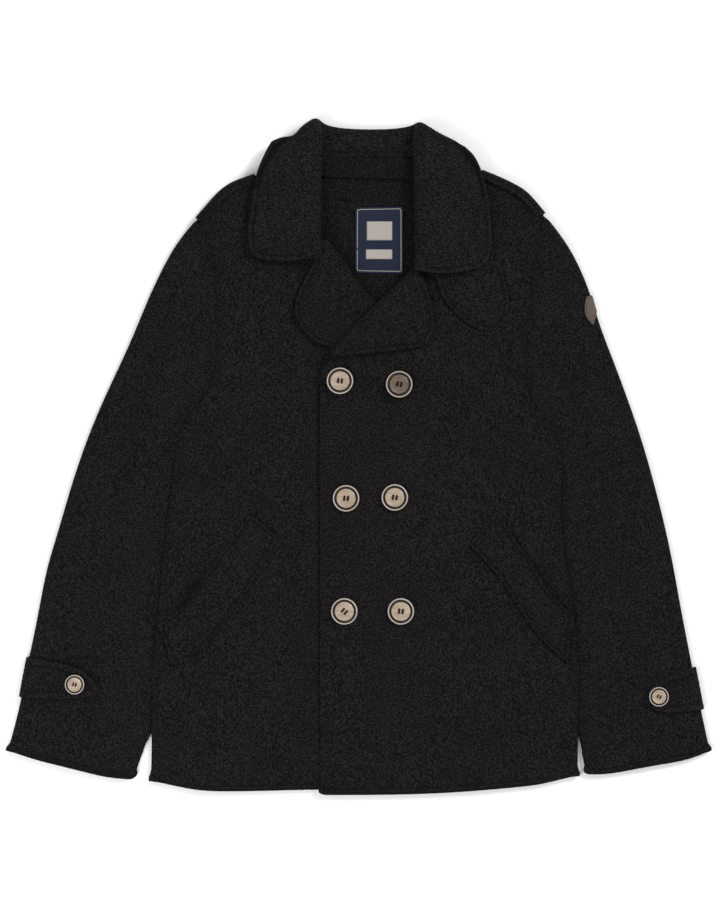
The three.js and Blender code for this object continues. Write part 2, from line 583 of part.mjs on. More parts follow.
const collarFace = collarCells();
const collarNormals = gridNormals(collarFace);
const collarShift = (distance) => collarFace.map((row, r) => row.map((p, c) => (
  p.clone().addScaledVector(collarNormals[r][c], distance))));
addPiece("under_collar", slab({ near: collarFace, far: collarShift(CLOTH) }), WOOL_COLLAR);
const topCollarWall = { near: collarShift(-COLLAR_PLY_GAP), far: collarShift(-COLLAR_PLY_GAP - CLOTH) };
addPiece("top_collar", slab(topCollarWall), WOOL_COLLAR);

// Pocket welts: opening edge and lower edge, from the end near the buttons to the side
const RIGHT_WELT = {
  opening: [[-126, -65], [-153, -100], [-184, -142.6], [-207, -174], [-222, -185], [-231, -192]],
  lower: [[-94, -92], [-120, -137], [-146, -177], [-176, -215], [-201, -233.5], [-216, -241]],
};
const LEFT_WELT = {
  opening: [[158, -61], [178, -94.6], [199, -122], [211.6, -147], [224, -162], [236, -173], [245, -182]],
  lower: [[126, -100], [138, -113], [153, -128.5], [178, -165], [199, -197.5], [227, -226.6], [239, -236]],
};
const overRightFront = topOf(["front_right"], 4, rightTop);
addCloth("pocket_welt_right", patch(RIGHT_WELT.opening, RIGHT_WELT.lower, steps(10), overRightFront, CLOTH));
addCloth("pocket_welt_left", patch(LEFT_WELT.opening, LEFT_WELT.lower, steps(10), overFront, CLOTH));

// Neck label
const LABEL_SIDE_A = [[-5.2, 287.5], [-5.4, 250], [-5.6, 213]];
const LABEL_SIDE_B = [[49.5, 288.5], [49.6, 250], [49.8, 212]];
const underLabel = topOf(["back_panel"], 6, backInside);
addCloth("neck_label", patch(LABEL_SIDE_A, LABEL_SIDE_B, steps(8), underLabel, LABEL_THICKNESS), LABEL_NAVY);

// Sleeves: outer edge and cuff hem, each from cuff to shoulder and outer to inner
const RIGHT_OUTER = [[-406, -337], [-393, -290], [-386, -250], [-377, -210], [-368, -164], [-359, -118],
  [-351, -95], [-344, -72], [-331, -26], [-315, 20], [-296, 66], [-274, 112], [-254, 158], [-235, 204],
  [-209, 250], [-195, 267.5], [-189, 273.4]];
const LEFT_OUTER = [[403, -337], [396, -302], [386.5, -256], [377, -210], [368, -164], [360, -118],
  [350, -72], [338, -26], [325, 20], [309, 66], [292, 112], [274, 158], [261, 204], [240, 244], [222, 268],
  [213.2, 278.6]];
const RIGHT_CUFF = [[-406, -337], [-379, -347], [-333, -358], [-284, -371], [-267, -373], [-260, -367]];
const LEFT_CUFF = [[403, -337], [385, -348], [334, -355], [288, -365], [270, -368], [261, -363]];
const RIGHT_INNER_FOOT = [[-260, -367], [-251, -342], [-241.5, -322]];
const LEFT_INNER_FOOT = [[261, -363], [256, -345], [252.5, -328]];
const SLEEVE_PLACES = [0, 0.03, 0.09, 0.15, 0.21, 0.27, 0.33, 0.4, 0.47, 0.54, 0.6, 0.66, 0.72, 0.78, 0.84,
  0.9, 0.95, 1];
const SLEEVE_STEPS = 4;
const SLEEVE_ANGLES = [0, 45, 90];
const SLEEVE_CAP_END = 0.965;
const ARMPIT_SHARE = 0.63;

const sleeveTop = (x, y, drop) => bed(x, y) + SLEEVE_HEIGHT - SLEEVE_INNER_DROP * drop;

function sleeveCells({ outer, cuff, innerFoot, side, arm, out }, face) {
  const outerLine = curve(outer);
  const beside = [...side, ...arm.slice(1)].map(([x, y]) => [x + out * ARMHOLE_GAP, y]);
  const innerLine = curve([...innerFoot, ...beside.filter(([, y]) => y > innerFoot[2][1] + 20)]);
  const away = (line, v, sign) => {
    const tangent = line.getTangentAt(v);
    const normal = point(tangent.y, -tangent.x);
    return normal.x * out * sign > 0 ? normal : normal.negate();
  };
  return SLEEVE_PLACES.map((v) => {
    const a = outerLine.getPointAt(v);
    const b = innerLine.getPointAt(v * SLEEVE_CAP_END);
    const way = b.clone().sub(a).normalize();
    const outerOut = away(outerLine, v, 1).lerp(way.clone().negate(), smooth(0.8, 1, v)).normalize();
    const innerOut = away(innerLine, v * SLEEVE_CAP_END, -1);
    const innerFold = 1 - smooth(ARMPIT_SHARE - 0.06, ARMPIT_SHARE + 0.02, v);
    const width = a.distanceTo(b);
    const cell = (u, angle, sideOut, sideFold) => {
      const p = a.clone().lerp(b, u);
      p.y += bulge(cuff, p.x) * (1 - smooth(0, 0.25, v));
      const high = sleeveTop(p.x, p.y, innerFold * smooth(0.45, 1, u));
      return laid(p.x, p.y, { low: bed(p.x, p.y), high, face, side: angle, sideOut, sideFold });
    };
    const outerCells = SLEEVE_ANGLES.map((angle) => cell(inset(angle) / width, angle, outerOut, 1));
    const innerCells = SLEEVE_ANGLES.map((angle) => (
      cell(1 - inset(angle) / width, angle, innerOut, innerFold)));
    const middle = steps(SLEEVE_STEPS + 1).slice(1, -1).map((t) => (
      cell(mix(EDGE_ROUND / width, 1 - EDGE_ROUND / width, t), 90, outerOut, 1)));
    return [...outerCells, ...middle, ...innerCells.reverse()];
  });
}

const RIGHT_SLEEVE = {
  outer: RIGHT_OUTER, cuff: RIGHT_CUFF, innerFoot: RIGHT_INNER_FOOT, side: RIGHT_SIDE, arm: RIGHT_ARMHOLE,
  out: -1,
};
const LEFT_SLEEVE = {
  outer: LEFT_OUTER, cuff: LEFT_CUFF, innerFoot: LEFT_INNER_FOOT, side: LEFT_SIDE, arm: LEFT_ARMHOLE,
  out: 1,
};
addCloth("sleeve_right_top", sleeveCells(RIGHT_SLEEVE, 1));
addCloth("sleeve_right_under", sleeveCells(RIGHT_SLEEVE, -1));
addCloth("sleeve_left_top", sleeveCells(LEFT_SLEEVE, 1));
addCloth("sleeve_left_under", sleeveCells(LEFT_SLEEVE, -1));

// A band wrapped round a rounded edge. Rows follow the edge; columns go from the underside, round the
// outline and over the top, then on across the top
function wrapCells({ line, places, outward, low, high, under, angles, top, thickness, gap }) {
  return places.map((v) => {
    const edge = line.getPointAt(v);
    const tangent = line.getTangentAt(v);
    const normal = point(tangent.y, -tangent.x);
    if (normal.dot(outward) < 0) normal.negate();
    const flat = (distance, up) => {
      const p = edge.clone().addScaledVector(normal, -distance);
      const z = up > 0 ? high(p.x, p.y) : low(p.x, p.y);
      return [gap, gap + thickness].map((distance) => point(p.x, p.y, z + up * distance));
    };
    const bent = (angle) => {
      const p = edge.clone().addScaledVector(normal, -inset(angle));
      const [bottom, peak] = [low(p.x, p.y), high(p.x, p.y)];
      p.z = mix(bottom, peak, (1 + sin(angle)) / 2);
      const way = normal.clone().multiplyScalar(cos(angle)).setZ(sin(angle));
      return [gap, gap + thickness].map((distance) => p.clone().addScaledVector(way, distance));
    };
    const pairs = [...under.map((d) => flat(d, -1)), ...angles.map(bent), ...top.map((d) => flat(d, 1))];
    return pairs.map(([inner, outer]) => ({ inner, outer }));
  });
}

// Shoulder straps, wrapped over the shoulder fold and lying partly under the back
const STRAP_UNDER = [24, 14];
const STRAP_ANGLES = [-90, -45, 0, 45, 90];
const STRAP_FRONT = [7.7];
const STRAP_PLACES = steps(8);

function shoulderStrap(name, shoulder, outward, from, to) {
  const places = STRAP_PLACES.map((t) => mix(from, to, t));
  const cells = wrapCells({
    line: curve(shoulder), places, outward, low: bed, high: bodyTop,
    under: STRAP_UNDER, angles: STRAP_ANGLES, top: STRAP_FRONT, thickness: CLOTH, gap: STRAP_GAP,
  });
  addCloth(name, cells);
}
shoulderStrap("shoulder_strap_right", RIGHT_SHOULDER, point(-0.4, 0.9), 0.46, 0.97);
shoulderStrap("shoulder_strap_left", LEFT_SHOULDER, point(0.4, 0.9), 0.44, 0.97);

// Cuff straps: wrapped round the sleeve's outer edge, then across the top to a rounded tip
const CUFF_ANGLES = [-30, 0, 30, 60, 90];
const CUFF_WIDTHS = [0, 0.25, 0.5, 0.75, 1];
const CUFF_REACH = [0.25, 0.5, 0.7, 0.82, 0.92, 1];

function cuffStrap(name, outline, upper, lower, out) {
  const line = curve(outline);
  const [a, b] = [curve(upper), curve(lower)];
  const high = (x, y) => sleeveTop(x, y, 0);
  const wrapped = wrapCells({
    line, places: CUFF_WIDTHS, outward: point(out, 0), low: bed, high,
    under: [], angles: CUFF_ANGLES, top: [], thickness: CLOTH, gap: STRAP_GAP,
  });
  const cells = wrapped.map((row, r) => [...row, ...CUFF_REACH.map((u) => {
    const p = a.getPoint(u).lerp(b.getPoint(u), CUFF_WIDTHS[r]);
    const z = high(p.x, p.y) + STRAP_GAP;
    return { inner: point(p.x, p.y, z), outer: point(p.x, p.y, z + CLOTH) };
  })]);
  addCloth(name, cells);
}
cuffStrap("cuff_strap_right", [[-381, -230.5], [-385.6, -253], [-389.6, -276]],
  [[-377, -231], [-355, -234], [-331, -239.5], [-317.4, -246], [-306, -256], [-301.8, -264]],
  [[-385.5, -276.3], [-358.8, -277], [-336.7, -277.8], [-317.4, -277], [-305.5, -273], [-301.6, -267.5]],
  -1);
cuffStrap("cuff_strap_left", [[383.8, -242], [388.4, -265.5], [393.2, -290]],
  [[379, -243.5], [361.2, -249], [347.3, -254.5], [336.5, -262.5], [330.6, -271], [328.8, -276]],
  [[388.5, -290.5], [361, -294.4], [347, -293.7], [336, -290], [330.8, -284], [328.9, -280.5]], 1);

// Small plain shield-shaped badge round the left sleeve's outer edge. Rows run up from its tip; each
// gives its place on the line and how far in from the edge it starts and ends
const BADGE_LINE = curve([[275.8, 156], [270.6, 170.5], [266, 186.5]]);
const BADGE_ROWS = [[0, 7, 8.8], [0.1, 5, 10.2], [0.2, 3.2, 11.4], [0.28, 1.7, 12.1], [0.36, 0.7, 12.6],
  [0.44, 0.1, 12.8], [0.6, 0, 11.6], [0.8, 0, 9.4], [1, 0, 5.6]];
const BADGE_GAP = 0.7;
const BADGE_COLUMNS = [0, 0.04, 0.15, 0.35, 0.65, 1];
addCloth("sleeve_badge", BADGE_ROWS.map(([v, start, end]) => BADGE_COLUMNS.map((u) => {
  const reach = mix(start, end, u);
  const angle = THREE.MathUtils.radToDeg(Math.acos(Math.max(0, 1 - reach / EDGE_ROUND)));
  const flat = reach > EDGE_ROUND;
  return wrapCells({
    line: BADGE_LINE, places: [v], outward: point(1, 0), low: bed,
    high: (x, y) => sleeveTop(x, y, 0),
    under: [], angles: flat ? [] : [angle], top: flat ? [reach] : [],
    thickness: BADGE_THICKNESS, gap: BADGE_GAP,
  })[0][0];
})), BADGE_GREY, 0.6);

// Buttons: a rim, a groove and a dished disc with four holes
const BUTTON_PROFILE = [[0, 0], [0.88, 0], [1, 0.3], [1, 0.82], [0.93, 0.9], [0.86, 0.6], [0.76, 0.6],
  [0.71, 1], [0.6, 0.98], [0.5, 0.78], [0, 0.74]];
const BUTTON_THICKNESS = 4.4;
const BUTTON_ANGLES = steps(16).map((t) => 360 * t);
const BUTTON_RINGS = [0.3, 0.6, 0.88];

function toSolid(geometry) {
  const position = geometry.attributes.position;
  const mesh = new SolidMesh({
    numProp: 3,
    vertProperties: Float32Array.from(position.array),
    triVerts: Uint32Array.from(geometry.index.array),
  });
  mesh.merge();
  const solid = new Manifold(mesh);
  return solid.volume() < 0 ? solid.mirror([1, 0, 0]) : solid;
}

function toGeometry(solid) {
  const mesh = solid.getMesh();
  const geometry = new THREE.BufferGeometry();
  geometry.setAttribute("position", new THREE.Float32BufferAttribute(mesh.vertProperties, 3));
  geometry.setIndex(Array.from(mesh.triVerts));
  geometry.computeVertexNormals();
  return geometry;
}

function buttonGeometry(radius, turn) {
  const scale = radius / BUTTON_RADIUS;
  const profile = BUTTON_PROFILE.map(([r, z]) => new THREE.Vector2(
    r === 0 ? 0 : r * radius, z * BUTTON_THICKNESS * scale,
  ));
  profile.push(new THREE.Vector2(0, 0));
  const lathe = new THREE.LatheGeometry(profile, BUTTON_SIDES).rotateX(Math.PI / 2);
  const hole = (x, y) => toSolid(
    new THREE.CylinderGeometry(HOLE_RADIUS * scale, HOLE_RADIUS * scale, 12, 6).rotateX(Math.PI / 2)
      .translate(x * HOLE_OFFSET * scale, y * HOLE_OFFSET * scale, 2),
  );
  const holes = [[1, 1], [-1, 1], [-1, -1], [1, -1]].map(([x, y]) => hole(x, y));
  return toGeometry(toSolid(lathe).subtract(Manifold.union(holes))).rotateZ(THREE.MathUtils.degToRad(turn));
}

const onFront = topOf(["front_left"], 0, leftTop);
const LARGE = { radius: BUTTON_RADIUS, rests: onFront, color: HORN };
const SMALL = { radius: CUFF_BUTTON_RADIUS, rests: onCuff, color: HORN };
const BUTTONS = [
  { name: "button_top_right", at: [-23, 88], turn: 20, ...LARGE },
  { name: "button_top_left", at: [45, 84], turn: -12, ...LARGE, color: HORN_DARK },
  { name: "button_middle_right", at: [-16, -47], turn: 8, ...LARGE },
  { name: "button_middle_left", at: [40, -46], turn: -20, ...LARGE },
  { name: "button_bottom_right", at: [-18, -177], turn: 35, ...LARGE },
  { name: "button_bottom_left", at: [47, -177], turn: 0, ...LARGE },
  { name: "cuff_button_right", at: [-328, -261], turn: 12, ...SMALL },
  { name: "cuff_button_left", at: [343.5, -275], turn: -8, ...SMALL },
];

function onCuff(x, y) {
  return sleeveTop(x, y, 0) + STRAP_GAP + CLOTH;
}

BUTTONS.forEach(({ name, at: [x, y], radius, turn, rests, color }) => {
  const around = BUTTON_ANGLES.flatMap((angle) => BUTTON_RINGS.map(
    (part) => rests(x + part * radius * cos(angle), y + part * radius * sin(angle)),
  ));
  const z = Math.max(rests(x, y), ...around) + SEAM;
  addPiece(name, buttonGeometry(radius, turn).translate(x, y, z), color, 0.45);
});

// Origin: middle of the footprint, on the table
const box = new THREE.Box3().setFromObject(coat);
const middle = box.getCenter(point(0, 0));
coat.children.forEach((mesh) => mesh.geometry.translate(-middle.x, -middle.y, 0));

export default coat;
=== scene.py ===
"""Looks of a double-breasted wool pea coat that lies flat, front up, seen from straight above.

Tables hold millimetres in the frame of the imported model. MM turns them into metres.
"""

import json
import logging
import math
from collections.abc import Callable, Iterable
from dataclasses import dataclass, field
from enum import Enum
from typing import ClassVar

import bmesh
import bpy
import numpy as np
from mathutils import Matrix, Vector
from mathutils.bvhtree import BVHTree

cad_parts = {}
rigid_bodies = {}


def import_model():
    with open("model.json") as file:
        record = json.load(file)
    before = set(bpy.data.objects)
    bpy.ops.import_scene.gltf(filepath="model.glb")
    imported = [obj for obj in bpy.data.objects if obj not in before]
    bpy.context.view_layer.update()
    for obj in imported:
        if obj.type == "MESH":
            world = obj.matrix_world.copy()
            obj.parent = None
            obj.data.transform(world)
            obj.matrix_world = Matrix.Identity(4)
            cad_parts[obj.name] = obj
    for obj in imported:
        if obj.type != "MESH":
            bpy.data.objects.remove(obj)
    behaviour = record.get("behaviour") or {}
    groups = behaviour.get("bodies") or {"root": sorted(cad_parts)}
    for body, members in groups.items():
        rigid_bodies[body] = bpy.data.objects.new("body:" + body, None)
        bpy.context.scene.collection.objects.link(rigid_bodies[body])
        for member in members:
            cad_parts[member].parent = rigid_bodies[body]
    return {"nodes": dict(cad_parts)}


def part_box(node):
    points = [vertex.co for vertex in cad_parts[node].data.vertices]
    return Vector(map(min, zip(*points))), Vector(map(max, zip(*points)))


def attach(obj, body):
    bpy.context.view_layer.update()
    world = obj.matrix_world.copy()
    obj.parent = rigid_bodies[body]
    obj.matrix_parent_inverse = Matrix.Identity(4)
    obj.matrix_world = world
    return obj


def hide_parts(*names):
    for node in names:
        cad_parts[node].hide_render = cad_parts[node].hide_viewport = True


for start_object in list(bpy.data.objects):
    bpy.data.objects.remove(start_object)
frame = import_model()

MM = 0.001
LOG = logging.getLogger("pea_coat")
PlanLine = tuple[tuple[float, float], ...]
FUZZY = tuple(f"{end}_cloth" for end in (
    "_top", "_strap_right", "_strap_left", "_collar", "front_left", "front_right", "facing_left",
    "facing_right", "tab"))


class Held(Enum):
    """How a sheet of cloth is held."""

    LAID = "laid"
    FOLDED = "folded"


class Grain(Enum):
    """Turn of the cloth's rib on a piece, in degrees from the length of the coat."""

    BODY = 0.0
    RIGHT_SLEEVE = -17.0
    LEFT_SLEEVE = 14.0
    COLLAR = 90.0
    RIGHT_LAPEL = 48.0
    LEFT_LAPEL = -44.0
    RIGHT_WELT = -38.0
    LEFT_WELT = 36.0


# Shapes in plan


def smooth_step(low: float, high: float, value: np.ndarray) -> np.ndarray:
    """Returns 0 below low, 1 above high and an eased rise between."""
    t = np.clip((value - low) / (high - low), 0.0, 1.0)
    return t * t * (3.0 - 2.0 * t)


def distance_to_lines(points: np.ndarray, starts: np.ndarray, ends: np.ndarray) -> np.ndarray:
    """Shortest distance from each point to a set of straight stretches.

    Args:
        points: One row for each point, of two or three numbers.
        starts: Start of each stretch.
        ends: End of each stretch.

    Returns:
        One distance for each point, in the unit of the points.
    """
    best = np.full(len(points), np.inf)
    for start, end in zip(starts, ends):
        along = end - start
        length = max(float(along @ along), 1e-12)
        share = np.clip(((points - start) @ along) / length, 0.0, 1.0)
        away = points - start - share[:, None] * along
        best = np.minimum(best, np.einsum("ij,ij->i", away, away))
    return np.sqrt(best)


def nearest_on_line(points: np.ndarray, line: PlanLine) -> np.ndarray:
    """Nearest place on a plan line to each plan point.

    Args:
        points: Plan points, a row each.
        line: The line.

    Returns:
        The nearest places, a row each.
    """
    row = np.array(line)
    best, nearest = np.full(len(points), np.inf), points.copy()
    for start, end in zip(row[:-1], row[1:]):
        along = end - start
        share = np.clip(((points - start) @ along) / (along @ along), 0.0, 1.0)
        place = start + share[:, None] * along
        away = ((points - place) ** 2).sum(1)
        closer = away < best
        best[closer], nearest[closer] = away[closer], place[closer]
    return nearest


def away_from_line(plan: np.ndarray, line: PlanLine) -> np.ndarray:
    """Returns the distance of each plan point from a plan line."""
    return np.linalg.norm(nearest_on_line(plan, line) - plan, axis=1)


def soft_noise(x: np.ndarray, y: np.ndarray, cell: float, seed: int) -> np.ndarray:
    """Smooth noise from -1 to 1, the same on every run.

    Args:
        x: First coordinate.
        y: Second coordinate.
        cell: Size of one swell, in the same unit.
        seed: Picks the pattern.

    Returns:
        The height of the noise at each point.
    """
    lattice = np.random.default_rng(seed).uniform(-1.0, 1.0, (64, 64))
    column, row = np.floor(x / cell).astype(int), np.floor(y / cell).astype(int)
    across, up = x / cell - column, y / cell - row
    across, up = across * across * (3 - 2 * across), up * up * (3 - 2 * up)

    def corner(i: int, j: int) -> np.ndarray:
        """Returns the height of the lattice at one corner of each cell."""
        return lattice[(row + j) % 64, (column + i) % 64]

    low = corner(0, 0) * (1 - across) + corner(1, 0) * across
    high = corner(0, 1) * (1 - across) + corner(1, 1) * across
    return low * (1 - up) + high * up


@dataclass(frozen=True)
class Crease:
    """One soft ridge, or a trough where the height is below zero, in the laid cloth.

    Attributes:
        line: Plan points that it follows.
        width: Half of its width.
        height: Height of its crest.
    """

    line: PlanLine
    width: float
    height: float

    def lift(self, plan: np.ndarray) -> np.ndarray:
        """Returns how far the crease lifts each plan point."""
        return self.height * np.exp(-((away_from_line(plan, self.line) / self.width) ** 2))


@dataclass(frozen=True)
class Seam:
    """A line along which neighbouring pieces are drawn together into a soft groove.

    Attributes:
        line: Plan points that it follows.
        pull: Most that an edge moves towards the line.
        reach: Distance from the line within which cloth moves.
        sink: Depth of the groove.
    """

    line: PlanLine
    pull: float = 2.2
    reach: float = 7.0
    sink: float = 1.5

    def draw(self, points: np.ndarray) -> np.ndarray:
        """Draws the cloth beside the line together.

        Args:
            points: Points in millimetres, a row each.

        Returns:
            The moved points.
        """
        moved = points.copy()
        way = nearest_on_line(points[:, :2], self.line) - points[:, :2]
        away = np.linalg.norm(way, axis=1)
        share = np.minimum(self.pull, away + 0.4) / np.maximum(away, 0.05)
        fade = 1.0 - smooth_step(self.pull, self.reach, away)
        moved[:, :2] += way * (share * fade * (away > 0.05))[:, None]
        top = smooth_step(3.0, 8.0, points[:, 2])
        moved[:, 2] -= self.sink * np.exp(-((away / 4.0) ** 2)) * top
        return moved


@dataclass(frozen=True)
class Nudge:
    """A small shift in plan of all that lies near one place, such as a corner that sags.

    Attributes:
        centre: Middle of the place.
        shift: How far it moves.
        radius: How far round it the cloth follows.
    """

    centre: tuple[float, float]
    shift: tuple[float, float]
    radius: float

    def draw(self, points: np.ndarray) -> np.ndarray:
        """Returns the points with those near the place shifted."""
        moved = points.copy()
        away = np.linalg.norm(points[:, :2] - np.array(self.centre), axis=1)
        moved[:, :2] += np.exp(-((away / self.radius) ** 2))[:, None] * np.array(self.shift)
        return moved


@dataclass(frozen=True)
class Drape:
    """The creases that hands left in the coat when it was laid out.

    Attributes:
        creases: Ridges and troughs of the cloth on top.
        hidden: Like ones of the cloth underneath.
        swell: Height of the broad unevenness.
        swell_size: Size of that unevenness.
        low: Height below which nothing moves.
        high: Height above which all of it moves.
    """

    creases: tuple[Crease, ...]
    hidden: tuple[Crease, ...]
    swell: float = 0.55
    swell_size: float = 62.0
    low: float = 3.4
    high: float = 7.6

    def lift(self, points: np.ndarray) -> np.ndarray:
        """How far each point of the coat is lifted.

        Args:
            points: Points in millimetres, a row each.

        Returns:
            The lift of each point in millimetres, below zero in a trough.
        """
        plan = points[:, :2]
        total = self.swell * soft_noise(plan[:, 0] + 900, plan[:, 1] + 900, self.swell_size, 3)
        for crease in self.creases:
            total += crease.lift(plan)
        under = sum(crease.lift(plan) for crease in self.hidden)
        weight = smooth_step(self.low, self.high, points[:, 2])
        return total * weight + under * (1.0 - weight)

    def hollow(self, points: np.ndarray) -> np.ndarray:
        """Returns the painted shade of each point, from 0 to 1, deeper in troughs and beside the two side seams."""
        plan = points[:, :2]
        depth = np.zeros(len(points))
        for crease in self.creases:
            if crease.height < 0:
                depth -= crease.lift(plan) * (0.7 if crease.width < 5 else 0.16)
        # Painted shade along the armhole and side seams.
        for seam in SEAMS[:2]:
            away = away_from_line(plan, seam.line)
            depth += 0.3 * np.exp(-((away / 2.1) ** 2)) + 0.42 * np.exp(-((away / 7.5) ** 2))
        return np.clip(depth, 0.0, 1.0) * smooth_step(2.5, 6.0, points[:, 2])


def shifted(line: PlanLine, dx: float = 1.5, dy: float = -0.6) -> PlanLine:
    """Returns plan points moved from the cutting plan's origin to the model's."""
    return tuple((x + dx, y + dy) for x, y in line)


RIGHT_SEAM = Seam(shifted(
    ((-240, -322), (-240, -252), (-232, -169), (-224, -86), (-214, -10), (-208, 30), (-199, 50),
     (-183, 64), (-169, 94), (-165, 129), (-166, 181), (-169, 224), (-178, 255), (-188, 277))), pull=3.0, reach=8.0)
LEFT_SEAM = Seam(shifted(
    ((251, -322), (252, -252), (249, -201), (240, -141), (232.5, -86), (231.5, -50), (233.5, -10),
     (229, 18), (214, 35), (199, 62), (191, 92), (191, 117), (195, 158), (199, 209), (205, 250), (212, 283))),
    pull=3.0, reach=8.0)
NECK_SEAM = Seam(((-47, 344.6), (10, 344.4), (67, 344.6)), pull=1.5, reach=5.0, sink=0.3)
SEAMS = (RIGHT_SEAM, LEFT_SEAM, NECK_SEAM)
NUDGES = (
    Nudge((-76, 371), (2.2, -3.9), 10),
    Nudge((123.4, 358.4), (-2.0, -2.2), 11),
)
DRAPE = Drape(
    creases=(
        Crease(((-178, -130), (-199, -161)), 3.0, -0.9),
        Crease(((-184, -143), (-207, -174)), 2.8, -0.8),
        Crease(((-159, -195), (-175, -214)), 2.6, -0.8),
        Crease(((203, -124), (222, -152), (232, -164)), 3.0, -1.0),
        Crease(((-81, 367), (-95, 354), (-105.5, 338), (-114, 322.5), (-117.5, 309)), 2.8, -2.4),
        Crease(((-88, 370), (-104, 357), (-114, 340), (-122, 322)), 4, 1.3),
        Crease(((110.8, 359), (122.8, 347), (133, 333), (140, 317.5), (143, 300)), 2.8, -2.3),
        Crease(((118, 362), (131, 350), (141, 334), (149, 318)), 4, 1.2),
        Crease(((-208, -20), (-160, -13), (-104, -10)), 11, -1.0),
        Crease(((82, -176), (81, -260), (79, -372)), 6, 0.8),
        Crease(((-177, -132), (-203, -166), (-218, -178)), 9, -1.2),
        Crease(((203, -122), (226, -160), (240, -172)), 9, -1.0),
        Crease(((-72, -140), (-118, -215), (-150, -300)), 20, 0.8),
        Crease(((-196, 6), (-150, 52), (-118, 92)), 13, 0.9),
        Crease(((-186, -36), (-128, 20), (-96, 66)), 12, -0.8),
        Crease(((226, -14), (176, 26), (138, 74)), 13, 0.9),
        Crease(((222, -48), (158, -8), (112, 44)), 12, -0.8),
        Crease(((-236, 176), (-290, 40), (-330, -90)), 15, 1.3),
        Crease(((-216, 152), (-250, 60), (-276, -40)), 12, -1.3),
        Crease(((-262, -30), (-300, -150), (-318, -214)), 14, 0.9),
        Crease(((-300, -300), (-330, -250), (-352, -190)), 10, -0.8),
        Crease(((240, 170), (292, 40), (330, -84)), 14, 1.2),
        Crease(((218, 140), (256, 40), (288, -60)), 12, -1.4),
        Crease(((272, -60), (306, -170), (326, -250)), 14, 1.0),
        Crease(((300, -292), (330, -220), (352, -160)), 10, -0.8),
        Crease(((-262, -120), (-316, -132)), 9, -0.7),
        Crease(((272, -96), (330, -120)), 9, -0.7),
        Crease(((66, 306), (86, 311), (109, 314)), 6, -0.9),
        Crease(((-110, 262), (-82, 290), (-70, 322)), 9, 0.7),
    ),
    hidden=(
        Crease(((-170, -60), (-120, -150), (-104, -260)), 12, 0.5),
        Crease(((140, -40), (112, -150), (120, -290)), 13, 0.5),
        Crease(((-260, 60), (-300, -60)), 10, 0.4),
        Crease(((270, 50), (312, -80)), 10, 0.4),
    ),
)


# Shader nodes


class NodeMaker:
    """Adds the nodes of one material or node group and links them."""

    def __init__(self, tree: bpy.types.NodeTree) -> None:
        """Starts on an empty tree."""
        self.tree = tree
        tree.nodes.clear()
        self.column = 0

    def add(self, kind: str, **settings: object) -> bpy.types.Node:
        """Adds a node.

        Args:
            kind: Name of the node's class without ShaderNode.
            settings: Attributes of the node to set.

        Returns:
            The node.
        """
        node = self.tree.nodes.new(kind if kind.startswith("Node") else "ShaderNode" + kind)
        node.location = (self.column * 190, -(self.column % 5) * 140)
        self.column += 1
        for name, value in settings.items():
            setattr(node, name, value)
        return node

    def put(self, socket: bpy.types.NodeSocket, value: object) -> None:
        """Links a socket to another one, or sets it to a plain value."""
        if isinstance(value, bpy.types.NodeSocket):
            self.tree.links.new(value, socket)
        else:
            socket.default_value = value

    def math(self, operation: str, *values: object, clamp: bool = False) -> bpy.types.NodeSocket:
        """Returns the result of a Math node on sockets or numbers."""
        node = self.add("Math", operation=operation, use_clamp=clamp)
        for socket, value in zip(node.inputs, values):
            self.put(socket, value)
        return node.outputs[0]

    def mix(self, factor: object, first: object, second: object) -> bpy.types.NodeSocket:
        """Returns the colour between two colours."""
        node = self.add("Mix", data_type="RGBA")
        self.put(node.inputs[0], factor)
        self.put(node.inputs[6], first)
        self.put(node.inputs[7], second)
        return node.outputs[2]

    def noise(self, vector: object, scale: float, detail: float = 3.0) -> bpy.types.NodeSocket:
        """Returns a noise value from 0 to 1 over a vector."""
        node = self.add("TexNoise")
        self.put(node.inputs["Vector"], vector)
        node.inputs["Scale"].default_value = scale
        node.inputs["Detail"].default_value = detail
        return node.outputs["Fac"]

    def stretch(self, vector: object, scale: tuple[float, float, float]) -> bpy.types.NodeSocket:
        """Returns the vector multiplied on each axis."""
        node = self.add("VectorMath", operation="MULTIPLY")
        self.put(node.inputs[0], vector)
        node.inputs[1].default_value = scale
        return node.outputs[0]

    def between(self, value: object, low: float, high: float) -> bpy.types.NodeSocket:
        """Returns the value eased from 0 at low to 1 at high."""
        node = self.add("MapRange", interpolation_type="SMOOTHSTEP")
        self.put(node.inputs["Value"], value)
        node.inputs["From Min"].default_value = low
        node.inputs["From Max"].default_value = high
        return node.outputs["Result"]


@dataclass(frozen=True)
class GroupPort:
    """A named input or output of a node group: its name, kind of socket and first value."""

    name: str
    kind: str
    value: object = None


def new_group(name: str, inputs: Iterable[GroupPort], outputs: Iterable[GroupPort]) -> bpy.types.NodeTree:
    """Makes an empty node group with named inputs and outputs.

    Args:
        name: Name of the group.
        inputs: Its inputs.
        outputs: Its outputs.

    Returns:
        The group's tree.
    """
    tree = bpy.data.node_groups.new(name, "ShaderNodeTree")
    for ports, way in ((inputs, "INPUT"), (outputs, "OUTPUT")):
        for port in ports:
            kind = f"NodeSocket{port.kind}"
            socket = tree.interface.new_socket(port.name, in_out=way, socket_type=kind)
            if port.value is not None:
                socket.default_value = port.value
    return tree


